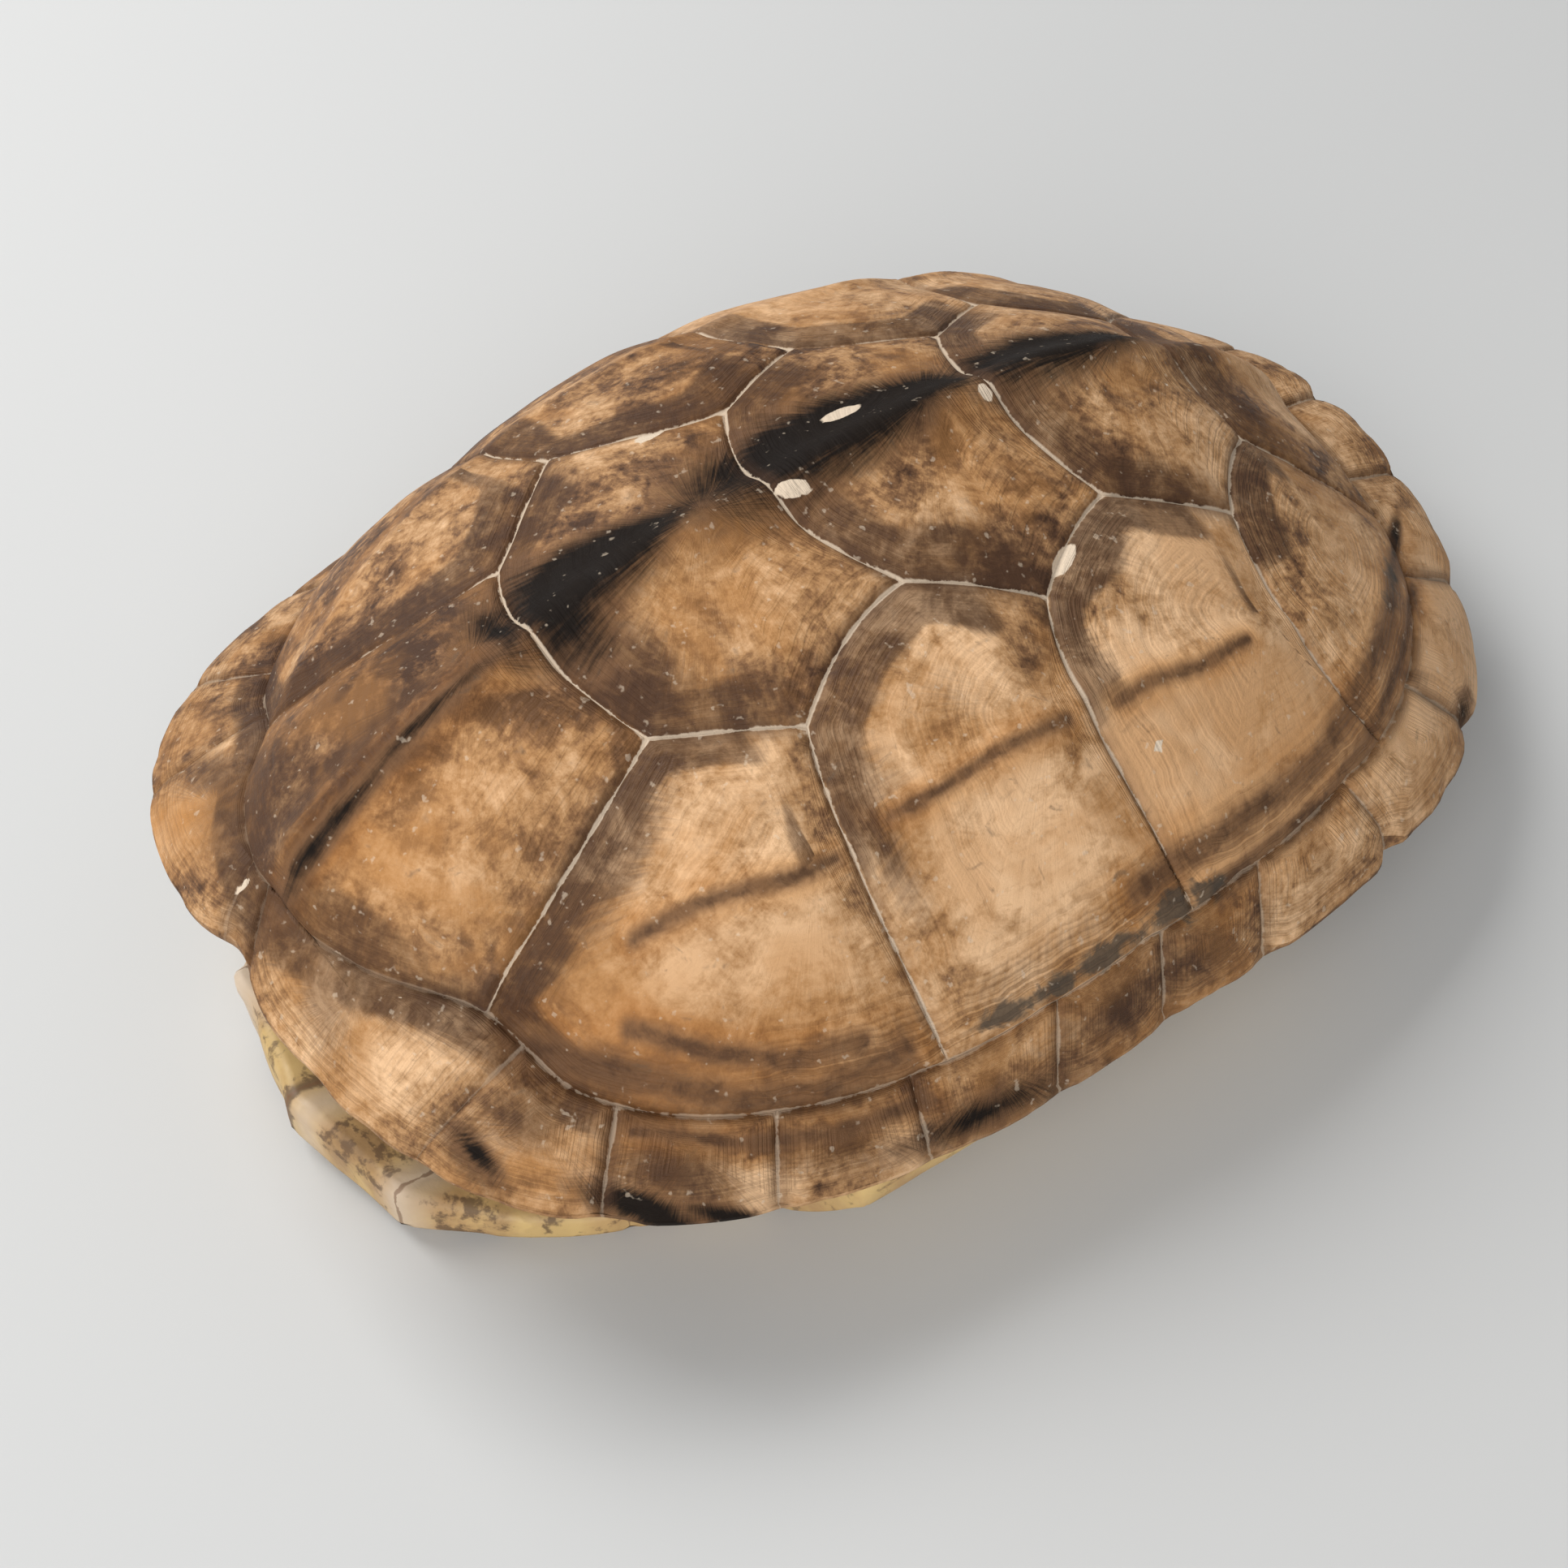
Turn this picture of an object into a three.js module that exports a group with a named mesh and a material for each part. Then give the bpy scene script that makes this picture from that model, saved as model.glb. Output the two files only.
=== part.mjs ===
// An empty turtle shell: the domed carapace with its 38 horny scutes, and the flat plastron under
// it with 12 more. The two are the shell's own pieces and meet at the bridge on either side.
//
// Millimetres, +Z up, standing on the plastron at Z = 0. The head end is at -Y, the tail end at +Y,
// and +X is the animal's left side. "Left" and "right" below are the animal's.
import * as THREE from 'three';

// ---- Driving sizes, mm and degrees ----
const halfLength = 65;
const halfWidth = 48.4;
const crownY = 3; // the top of the dome lies this far behind the middle of the length
const crownHeight = 47.1;
const crownSlope = -0.038; // the back falls this much per mm towards the tail
const planSquareness = 2.75; // exponent of the outline's superellipse: 2 is an ellipse
const domeShoulder = 0.85;
const keelHeight = 2.1;
const keelHalfWidth = 2.8;
const sideKeelHeight = 0.7;
const sideKeelHalfWidth = 1.8;
const sideKeelX = 29.8;
const sideKeelBendY = -18; // in front of this the side keels close in on the middle line
const sideKeelCloseIn = 0.35;
const seamDepth = 0.5;
const scuteSwell = 0.6;
const wall = 3;
const rimEdge = 1.3; // height of the rounded edge of the rim
const lipWidth = 5; // how far the underside of the rim reaches inward
const lipRise = 0.8;
const hollowLoops = [0.87, 0.76, 0.62, 0.46, 0.3, 0.14]; // shares of the way from the crown to the rim
const keelFade = 6; // the keels fade out over the lowest sixth of the dome
const sampleSpacing = 4.3; // distance between neighbouring points along a seam
const slopeStep = 0.4; // the dome's slope is measured over this far to each side
const jointGap = 0.3; // clear space between carapace and plastron at the bridge

const plastronThickness = 3.4;
const plastronEdgeRound = 0.9;
const bridgeStartX = 31; // the plastron is flat inside this and curves up to the rim outside it
const bridgeInsideX = 28;
const bridgeThickening = 1.5;
const plastronInnerLoops = [0.88, 0.6, 0.3]; // shares of the way from the middle to the edge
const frontStartY = -45; // in front of this the plastron turns up, thickens and leans to the left
const frontTipY = -65;
const frontUpturn = 1.6;
const frontLip = 3.6; // extra thickness at the tip, on the inside
const frontLean = 2.6;
const rearUpturn = 1;
const rearUpturnStartY = 42;
const rearTipY = 55.5;

const degrees = Math.PI / 180;
const sides = [['L', 1], ['R', -1]];

// Sections round the shell, from the head end (-90) past the side (0) to the tail end (90), in
// degrees about the crown. The groove is the line where the costal scutes meet the marginal ones:
// grooveReach is its distance from the crown as a share of the rim's.
const sections = [
  { angle: -90, grooveReach: 0.92, grooveHeight: 31.8, rimHeight: 27.4, fullness: 2.35 },
  { angle: -80, grooveReach: 0.885, grooveHeight: 31.4, rimHeight: 26.1, fullness: 2.35 },
  { angle: -70, grooveReach: 0.823, grooveHeight: 29, rimHeight: 23.4, fullness: 2.33 },
  { angle: -60, grooveReach: 0.853, grooveHeight: 23.9, rimHeight: 20.8, fullness: 2.3 },
  { angle: -30, grooveReach: 0.907, grooveHeight: 21.6, rimHeight: 15.7, fullness: 2.27 },
  { angle: 0, grooveReach: 0.928, grooveHeight: 23.7, rimHeight: 15.5, fullness: 2.15 },
  { angle: 30, grooveReach: 0.903, grooveHeight: 22.6, rimHeight: 14, fullness: 1.75 },
  { angle: 60, grooveReach: 0.875, grooveHeight: 20.3, rimHeight: 12.4, fullness: 1.8 },
  { angle: 90, grooveReach: 0.882, grooveHeight: 21, rimHeight: 19.3, fullness: 2.39 },
];

// Seams between neighbouring marginal scutes on one side, first to last: where each one leaves the
// groove and where it reaches the rim, in degrees, and how deep it notches the rim.
const marginalSeams = [
  { groove: -66.1, rim: -69.1, notch: 0.3 },
  { groove: -57.3, rim: -55.7, notch: 0.4 },
  { groove: -43.7, rim: -42.8, notch: 0.3 },
  { groove: -30.9, rim: -29.6, notch: 0.3 },
  { groove: -13.9, rim: -15.5, notch: 0.3 },
  { groove: 0.4, rim: -1.4, notch: 0.4 },
  { groove: 15.7, rim: 12.8, notch: 0.5 },
  { groove: 31.2, rim: 32.4, notch: 1.1 },
  { groove: 47.6, rim: 49.8, notch: 1.2 },
  { groove: 63.5, rim: 66.5, notch: 1 },
  { groove: 77.7, rim: 78.8, notch: 0.8 },
];
const notchHalfAngle = 1.6;
const neckNotch = 1.6; // the rim draws back over the neck
const neckNotchHalfAngle = 3.6;
const tailNotch = 1.4;
const notchReach = 0.88; // the notches fade out this far in from the rim

// Ends of the other seams on the groove, in degrees.
const grooveEnds = { v1c1: -69.8, c1c2: -27, c2c3: 5.2, c3c4: 38.5, v5c4: 71.2 };

// The small cervical scute lies a little to the right of the middle line.
const cervical = { grooveLeft: -91.1, grooveRight: -94.4, rimLeft: -88.1, rimRight: -92.1 };

// Corners of the five vertebral scutes in plan: [x, y] on the left side and on the right side.
const vertebralCorners = {
  v1v2: { left: [13.1, -28], right: [-10.5, -28.2] },
  v2side: { left: [20.1, -16.5], right: [-20.7, -16.8] },
  v2v3: { left: [13.8, -1.5], right: [-13, -1.8] },
  v3side: { left: [20.6, 9.3], right: [-18.6, 9.6] },
  v3v4: { left: [13.5, 21.5], right: [-12.6, 22.5] },
  v4side: { left: [18.6, 33.3], right: [-18.6, 32.1] },
  v4v5: { left: [10.9, 41.5], right: [-10.1, 42.5] },
};

// Seams that aren't straight pass through these points.
const bends = {
  'v1v2L v1v2R': [0, -31],
  'v2v3L v2v3R': [0, -6],
  'v3v4L v3v4R': [0, 18.6],
  'v4v5L v4v5R': [0, 41],
  'v1c1L v1v2L': [17, -39],
  'v1c1R v1v2R': [-13, -40.3],
  'v2sideL v2v3L': [15.6, -8.7],
  'v2sideR v2v3R': [-15.5, -9],
  'v3sideL v3v4L': [16.4, 15.2],
  'v3sideR v3v4R': [-15, 15.9],
  'v4sideL v4v5L': [14.1, 37],
  'v4sideR v4v5R': [-13.8, 37],
  'c1c2L v2sideL': [30.4, -19.1],
  'c1c2R v2sideR': [-30.4, -19.1],
  'c2c3L v3sideL': [30.2, 6],
  'c2c3R v3sideR': [-29.8, 6],
  'c3c4L v4sideL': [30, 31.1],
  'c3c4R v4sideR': [-30, 31.1],
  'v4v5L v5c4L': [14.8, 47.5],
  'v4v5R v5c4R': [-14.3, 48],
};

// Growth centres of the vertebral scutes (on the middle line) and of the costal scutes.
const vertebralCentres = [-37, -13, 11.5, 34, 48.5];
const costalCentres = [[28.6, -22], [29, 2.5], [28.8, 27.5], [23.5, 42]];

// Half of the plastron's outline, from the head end to the tail end, and the seams across it.
const plastronSeams = {
  frontMiddle: [0, frontTipY],
  gularCorner: [15.2, -61.8],
  humeral: [29.6, -45],
  axilla: [35.5, -34],
  inguinal: [35, 25],
  femoral: [29.5, 41],
  analCorner: [11, rearTipY],
  analNotch: [0, 51],
  gularMiddle: [0, -51],
  humeralMiddle: [0, -38],
  pectoralMiddle: [0, -15],
  abdominalMiddle: [0, 12],
  femoralMiddle: [0, 32],
};
const bridgeAngles = { bridgeFront: -36, bridgeMiddle: -10, bridgeRear: 22 };
const plastronBends = {
  'gularCorner humeral': [24, -52.8],
  'gularCorner gularMiddle': [9, -55],
  'femoral inguinal': [33.6, 33],
  'analCorner femoral': [22, 50.3],
};

// ---- Form of the shell ----

// A quantity of the sections at an angle, eased from one section to the next.
function roundTheShell(quantity, angle) {
  const last = sections.length - 1;
  const section = (i) => {
    if (i < 0) return { ...sections[-i], angle: -180 - sections[-i].angle };
    if (i > last) return { ...sections[2 * last - i], angle: 180 - sections[2 * last - i].angle };
    return sections[i];
  };
  let i = 0;
  while (i < last - 1 && sections[i + 1].angle < angle) i += 1;
  const slope = (j) => {
    const rise = section(j + 1)[quantity] - section(j - 1)[quantity];
    return rise / (section(j + 1).angle - section(j - 1).angle);
  };
  const span = sections[i + 1].angle - sections[i].angle;
  const t = (angle - sections[i].angle) / span;
  const ease = t * t * (3 - 2 * t);
  const value = sections[i][quantity] * (1 - ease) + sections[i + 1][quantity] * ease;
  return value + span * t * (1 - t) * (slope(i) * (1 - t) - slope(i + 1) * t);
}

// Both sides are alike: the angle on the right side is folded over to the left.
function folded(angle) {
  return Math.asin(THREE.MathUtils.clamp(Math.sin(angle * degrees), -1, 1)) / degrees;
}

function bell(distance, halfWidth) {
  return Math.exp(-((distance / halfWidth) ** 2));
}

// Distance of the rim from the crown in plan.
function rimRadius(angle) {
  const across = Math.abs(Math.cos(angle * degrees)) / halfWidth;
  const reach = angle < 0 ? halfLength + crownY : halfLength - crownY;
  const along = Math.abs(Math.sin(angle * degrees)) / reach;
  return (across ** planSquareness + along ** planSquareness) ** (-1 / planSquareness);
}

function rimNotch(angle) {
  let depth = neckNotch * bell(angle + 90, neckNotchHalfAngle);
  depth += tailNotch * bell(angle - 90, notchHalfAngle);
  for (const seam of marginalSeams) depth += seam.notch * bell(angle - seam.rim, notchHalfAngle);
  return depth;
}

function planPoint(angle, reach) {
  const fold = folded(angle);
  const notchShare = Math.max(0, (reach - notchReach) / (1 - notchReach));
  const radius = rimRadius(fold) * reach - rimNotch(fold) * notchShare;
  return [radius * Math.cos(angle * degrees), crownY + radius * Math.sin(angle * degrees)];
}

function angleOf([x, y]) {
  return Math.atan2(y - crownY, x) / degrees;
}

// Height of the smooth dome, without keels and scutes.
function domeAt(x, y) {
  const angle = folded(angleOf([x, y]));
  const reach = Math.hypot(x, y - crownY) / rimRadius(angle);
  const groove = roundTheShell('grooveReach', angle);
  const grooveHeight = roundTheShell('grooveHeight', angle);
  if (reach > groove) {
    const out = (reach - groove) / (1 - groove);
    const height = THREE.MathUtils.lerp(grooveHeight, roundTheShell('rimHeight', angle), out);
    return { height, rise: 0 };
  }
  const fullness = roundTheShell('fullness', angle);
  const arch = (s) => Math.sqrt(1 - (domeShoulder * s) ** fullness);
  const rise = (arch(reach / groove) - arch(1)) / (1 - arch(1));
  const crown = crownHeight + crownSlope * (y - crownY);
  return { height: THREE.MathUtils.lerp(grooveHeight, crown, rise), rise };
}

function keels(x, y, rise) {
  const side = sideKeelX - sideKeelCloseIn * Math.max(0, sideKeelBendY - y);
  const middleKeel = keelHeight * bell(x, keelHalfWidth);
  const sideKeel = sideKeelHeight * bell(Math.abs(x) - side, sideKeelHalfWidth);
  return (middleKeel + sideKeel) * Math.min(1, keelFade * rise);
}

// A point lifted off the smooth dome at right angles to it.
function offDome(x, y, lift) {
  const riseX = domeAt(x + slopeStep, y).height - domeAt(x - slopeStep, y).height;
  const riseY = domeAt(x, y + slopeStep).height - domeAt(x, y - slopeStep).height;
  const normal = new THREE.Vector3(-riseX, -riseY, 2 * slopeStep).normalize();
  return new THREE.Vector3(x, y, domeAt(x, y).height).addScaledVector(normal, lift);
}

// A point of the outer skin, keels included.
function onCarapace(x, y, lift) {
  const point = offDome(x, y, lift);
  return point.setZ(point.z + keels(x, y, domeAt(x, y).rise));
}

// Underside of the rim, a given distance in from the rim.
function underRim(angle, inward) {
  const fold = folded(angle);
  const [x, y] = planPoint(angle, 1 - inward / rimRadius(fold));
  const height = roundTheShell('rimHeight', fold) - rimEdge + lipRise * (inward / lipWidth);
  return new THREE.Vector3(x, y, height);
}

// How far forward a point of the plastron's front end lies: 1 is the tip.
function frontShare(y) {
  return Math.max(0, (y - frontStartY) / (frontTipY - frontStartY));
}

// The front end of the plastron isn't quite straight under the carapace.
function leaned([x, y]) {
  return [x + frontLean * frontShare(y), y];
}

// Outer face of the plastron, flat in the middle and curving up to the bridge at the sides.
function plastronHeight(x, y) {
  const bridgeEnd = halfWidth - rimEdge;
  const out = Math.max(0, (Math.abs(x) - bridgeStartX) / (bridgeEnd - bridgeStartX));
  const rear = Math.max(0, (y - rearUpturnStartY) / (rearTipY - rearUpturnStartY));
  const bridgeRise = roundTheShell('rimHeight', 0) - 2 * rimEdge;
  return bridgeRise * out ** 2 + frontUpturn * frontShare(y) ** 2 + rearUpturn * rear ** 2;
}

// ---- Skin: shared points and triangles of one closed solid ----

class Skin {
  positions = [];
  triangles = [];

  add(point) {
    this.positions.push(point.x, point.y, point.z);
    return this.positions.length / 3 - 1;
  }

  // Triangles between two closed loops with the same number of points.
  strip(outer, inner) {
    for (let i = 0; i < outer.length; i += 1) {
      const next = (i + 1) % outer.length;
      this.triangles.push(outer[i], outer[next], inner[next], outer[i], inner[next], inner[i]);
    }
  }

  fan(loop, centre) {
    loop.forEach((point, i) => this.triangles.push(point, loop[(i + 1) % loop.length], centre));
  }

  mesh(name, material) {
    const geometry = new THREE.BufferGeometry();
    geometry.setAttribute('position', new THREE.Float32BufferAttribute(this.positions, 3));
    geometry.setIndex(this.triangles);
    geometry.computeVertexNormals();
    const mesh = new THREE.Mesh(geometry, material);
    mesh.name = name;
    return mesh;
  }
}

function turnedLeft(loop) {
  let area = 0;
  loop.forEach(([x, y], i) => {
    const [nextX, nextY] = loop[(i + 1) % loop.length];
    area += x * nextY - nextX * y;
  });
  return area > 0;
}

// Scutes laid edge to edge over a face. Neighbours share the points of the seam between them.
class ScuteNet {
  corners = {};
  seams = {};

  constructor(skin, surface, shapes) {
    this.skin = skin;
    this.surface = surface;
    Object.assign(this, shapes);
  }

  // Plan points from one corner to the next, both ends included.
  route(from, to) {
    const a = this.corners[from];
    const b = this.corners[to];
    const bend = this.bends[`${from} ${to}`];
    const length = Math.hypot(b.at[0] - a.at[0], b.at[1] - a.at[1]);
    const spans = Math.max(1, Math.round(length / (2 * sampleSpacing)));
    const count = bend ? 2 * spans : Math.max(1, Math.round(length / sampleSpacing));
    const points = [];
    for (let i = 0; i <= count; i += 1) {
      const t = i / count;
      if (a.reach && a.reach === b.reach) points.push(this.alongRing(a, b, t));
      else if (bend) points.push(this.alongBend(a.at, bend, b.at, t));
      else points.push([0, 1].map((axis) => THREE.MathUtils.lerp(a.at[axis], b.at[axis], t)));
    }
    return points;
  }

  alongBend(a, bend, b, t) {
    return [0, 1].map((axis) => {
      const control = 2 * bend[axis] - (a[axis] + b[axis]) / 2;
      return (1 - t) ** 2 * a[axis] + 2 * t * (1 - t) * control + t ** 2 * b[axis];
    });
  }

  alongRing(a, b, t) {
    const turn = THREE.MathUtils.euclideanModulo(b.angle - a.angle + 180, 360) - 180;
    return this.ringPoint(a.angle + turn * t, a.reach);
  }

  // The seam's points as indices of the skin, made once and then shared.
  seam(from, to) {
    const [first, second] = [from, to].sort();
    const key = `${first} ${second}`;
    if (!this.seams[key]) {
      const onEdge = this.corners[first].edge && this.corners[second].edge;
      this.seams[key] = this.route(first, second).map(([x, y], i, all) => {
        const corner = [this.corners[first], this.corners[second]][i / (all.length - 1)];
        if (corner?.point) return corner.point;
        const lift = onEdge || corner?.edge ? this.edgeLift : -seamDepth;
        const ring = corner ? corner.reach : this.corners[first].reach && this.corners[second].reach;
        const point = { at: [x, y], ring, index: this.skin.add(this.surface(x, y, lift)) };
        if (corner) corner.point = point;
        return point;
      });
    }
    return from === first ? this.seams[key] : [...this.seams[key]].reverse();
  }

  border(names) {
    return names.flatMap((name, i) => this.seam(name, names[(i + 1) % names.length]).slice(0, -1));
  }

  // One scute: its border, then smaller loops that close in on its growth centre.
  scute(names, centre, loops) {
    const border = this.border(names);
    if (turnedLeft(border.map((point) => point.at)) !== this.facesUp) border.reverse();
    let outer = border.map((point) => point.index);
    for (const { share, lift } of loops) {
      const inner = border.map(({ at }) => {
        const [x, y] = [0, 1].map((axis) => THREE.MathUtils.lerp(centre[axis], at[axis], share));
        return this.skin.add(this.surface(x, y, lift));
      });
      this.skin.strip(outer, inner);
      outer = inner;
    }
    this.skin.fan(outer, this.skin.add(this.surface(...centre, loops.at(-1).lift)));
  }
}

const bigScuteLoops = [
  { share: 0.93, lift: 0.15 },
  { share: 0.62, lift: scuteSwell * 0.8 },
  { share: 0.3, lift: scuteSwell },
];
const marginalLoops = [
  { share: 0.82, lift: 0.15 },
  { share: 0.4, lift: scuteSwell * 0.5 },
];
const plastronLoops = [
  { share: 0.94, lift: 0 },
  { share: 0.78, lift: 0 },
  { share: 0.55, lift: 0 },
];

// ---- Carapace ----

function carapaceNet(skin) {
  const net = new ScuteNet(skin, onCarapace, {
    bends,
    facesUp: true,
    edgeLift: 0,
    ringPoint: (angle, reach) => {
      if (reach === 1) return planPoint(angle, 1);
      return planPoint(angle, roundTheShell('grooveReach', folded(angle)));
    },
  });
  const onGroove = (name, angle) => {
    net.corners[name] = { angle, reach: 'groove', at: net.ringPoint(angle, 'groove') };
  };
  const onRim = (name, angle) => {
    net.corners[name] = { angle, reach: 1, at: net.ringPoint(angle, 1), edge: true };
  };
  for (const [name, { left, right }] of Object.entries(vertebralCorners)) {
    net.corners[`${name}L`] = { at: left };
    net.corners[`${name}R`] = { at: right };
  }
  for (const [side, turned] of [['L', (angle) => angle], ['R', (angle) => 180 - angle]]) {
    for (const [name, angle] of Object.entries(grooveEnds)) onGroove(`${name}${side}`, turned(angle));
    marginalSeams.forEach((seam, i) => {
      onGroove(`marginal${i + 1}${side}`, turned(seam.groove));
      onRim(`rim${i + 1}${side}`, turned(seam.rim));
    });
  }
  onGroove('marginal12', 90);
  onRim('rim12', 90);
  onGroove('marginal0L', cervical.grooveLeft);
  onGroove('marginal0R', cervical.grooveRight);
  onRim('rim0L', cervical.rimLeft);
  onRim('rim0R', cervical.rimRight);
  return net;
}

// Names of the corners on the groove or the rim from one to another, turning left round the shell.
function cornersBetween(net, reach, from, to) {
  const start = net.corners[from].angle;
  const turned = (name) => THREE.MathUtils.euclideanModulo(net.corners[name].angle - start, 360);
  return Object.keys(net.corners)
    .filter((name) => net.corners[name].reach === reach && turned(name) <= turned(to))
    .sort((a, b) => turned(a) - turned(b));
}

function middleOf(net, names) {
  return [0, 1].map((axis) => {
    const sum = names.reduce((total, name) => total + net.corners[name].at[axis], 0);
    return sum / names.length;
  });
}

function addVertebrals(net) {
  const pairs = [['v1v2', 'v2side', 'v2v3'], ['v2v3', 'v3side', 'v3v4'], ['v3v4', 'v4side', 'v4v5']];
  const front = cornersBetween(net, 'groove', 'v1c1R', 'v1c1L');
  net.scute([...front, 'v1v2L', 'v1v2R'], [0, vertebralCentres[0]], bigScuteLoops);
  pairs.forEach((rows, i) => {
    const left = rows.map((name) => `${name}L`);
    const right = rows.map((name) => `${name}R`).reverse();
    net.scute([...left, ...right], [0, vertebralCentres[i + 1]], bigScuteLoops);
  });
  const rear = cornersBetween(net, 'groove', 'v5c4L', 'v5c4R');
  net.scute(['v4v5R', 'v4v5L', ...rear], [0, vertebralCentres[4]], bigScuteLoops);
}

function addCostals(net, side) {
  const outlines = [
    { inner: ['v2side', 'v1v2'], ends: ['v1c1', 'c1c2'] },
    { inner: ['v3side', 'v2v3', 'v2side'], ends: ['c1c2', 'c2c3'] },
    { inner: ['v4side', 'v3v4', 'v3side'], ends: ['c2c3', 'c3c4'] },
    { inner: ['v4v5', 'v4side'], ends: ['c3c4', 'v5c4'] },
  ];
  outlines.forEach(({ inner, ends }, i) => {
    const [first, last] = ends.map((name) => `${name}${side}`);
    const outer = side === 'L' ? cornersBetween(net, 'groove', first, last)
      : cornersBetween(net, 'groove', last, first).reverse();
    const [x, y] = costalCentres[i];
    const centre = [side === 'L' ? x : -x, y];
    net.scute([...inner.map((name) => `${name}${side}`), ...outer], centre, bigScuteLoops);
  });
}

function addMarginals(net) {
  const rim = cornersBetween(net, 1, 'rim0L', 'rim0R');
  const grooveName = (name) => name.replace('rim', 'marginal');
  rim.forEach((name, i) => {
    const next = rim[(i + 1) % rim.length];
    const groove = cornersBetween(net, 'groove', grooveName(name), grooveName(next)).reverse();
    const corners = [name, next, ...groove];
    net.scute(corners, middleOf(net, [name, next, groove[0], groove.at(-1)]), marginalLoops);
  });
  return rim;
}

function carapace() {
  const skin = new Skin();
  const net = carapaceNet(skin);
  addVertebrals(net);
  addCostals(net, 'L');
  addCostals(net, 'R');
  const rimBorder = net.border(addMarginals(net)).reverse();
  const angles = rimBorder.map((point) => angleOf(point.at));

  // Rounded edge and underside of the rim, then the smooth hollow of the dome.
  let outer = rimBorder.map((point) => point.index);
  const addLoop = (points) => {
    const inner = points.map((point) => skin.add(point));
    skin.strip(outer, inner);
    outer = inner;
  };
  addLoop(angles.map((angle) => underRim(angle, rimEdge / 2)));
  addLoop(angles.map((angle) => underRim(angle, lipWidth)));
  for (const reach of hollowLoops) {
    addLoop(angles.map((angle) => {
      const [x, y] = planPoint(angle, reach);
      return offDome(x, y, -wall);
    }));
  }
  skin.fan(outer, skin.add(new THREE.Vector3(0, crownY, crownHeight - wall)));
  const horn = new THREE.MeshStandardMaterial({ color: 0x8a6240, roughness: 0.55, metalness: 0 });
  return skin.mesh('carapace', horn);
}

// ---- Plastron ----

// The bends of the left side, and their mirror images on the right.
function bendsOnBothSides() {
  const both = {};
  for (const [seam, [x, y]] of Object.entries(plastronBends)) {
    for (const [side, sign] of sides) {
      const named = seam.split(' ').map((name) => (name.endsWith('Middle') ? name : `${name}${side}`));
      both[named.join(' ')] = leaned([sign * x, y]);
    }
  }
  return both;
}

function plastronNet(skin) {
  const net = new ScuteNet(skin, (x, y, lift) => new THREE.Vector3(x, y, plastronHeight(x, y) - lift), {
    bends: bendsOnBothSides(),
    facesUp: false,
    edgeLift: -plastronEdgeRound,
    ringPoint: (angle) => {
      const point = underRim(angle, rimEdge);
      return [point.x, point.y];
    },
  });
  for (const [name, [x, y]] of Object.entries(plastronSeams)) {
    const edge = !name.endsWith('Middle') || name === 'frontMiddle';
    for (const [side, sign] of x === 0 ? [['', 0]] : sides) {
      net.corners[`${name}${side}`] = { at: leaned([sign * x, y]), edge };
    }
  }
  for (const [name, turned] of Object.entries(bridgeAngles)) {
    for (const [side, angle] of [['L', turned], ['R', 180 - turned]]) {
      net.corners[`${name}${side}`] = { angle, reach: 'bridge', at: net.ringPoint(angle), edge: true };
    }
  }
  return net;
}

const plastronScutes = [
  { corners: ['frontMiddle', 'gularCorner', 'gularMiddle'], centre: [5.5, -57] },
  { corners: ['gularMiddle', 'gularCorner', 'humeral', 'humeralMiddle'], centre: [13, -48] },
  {
    corners: ['humeralMiddle', 'humeral', 'axilla', 'bridgeFront', 'bridgeMiddle', 'pectoralMiddle'],
    centre: [20, -27],
  },
  {
    corners: ['pectoralMiddle', 'bridgeMiddle', 'bridgeRear', 'inguinal', 'abdominalMiddle'],
    centre: [20, 2],
  },
  { corners: ['abdominalMiddle', 'inguinal', 'femoral', 'femoralMiddle'], centre: [16, 27] },
  { corners: ['femoralMiddle', 'femoral', 'analCorner', 'analNotch'], centre: [10, 42] },
];
const plastronEdge = ['gularCorner', 'humeral', 'axilla', 'bridgeFront', 'bridgeMiddle', 'bridgeRear',
  'inguinal', 'femoral', 'analCorner'];

// Inner face of the plastron, which thickens towards the bridge and the front edge.
function plastronInside(x, y) {
  const bridgeEnd = halfWidth - lipWidth;
  const out = Math.max(0, (Math.abs(x) - bridgeInsideX) / (bridgeEnd - bridgeInsideX));
  const rise = roundTheShell('rimHeight', 0) - rimEdge - plastronThickness;
  const flat = plastronHeight(Math.min(Math.abs(x), bridgeStartX), y) + frontLip * frontShare(y) ** 2;
  return flat + plastronThickness + rise * out ** bridgeThickening;
}

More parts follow.
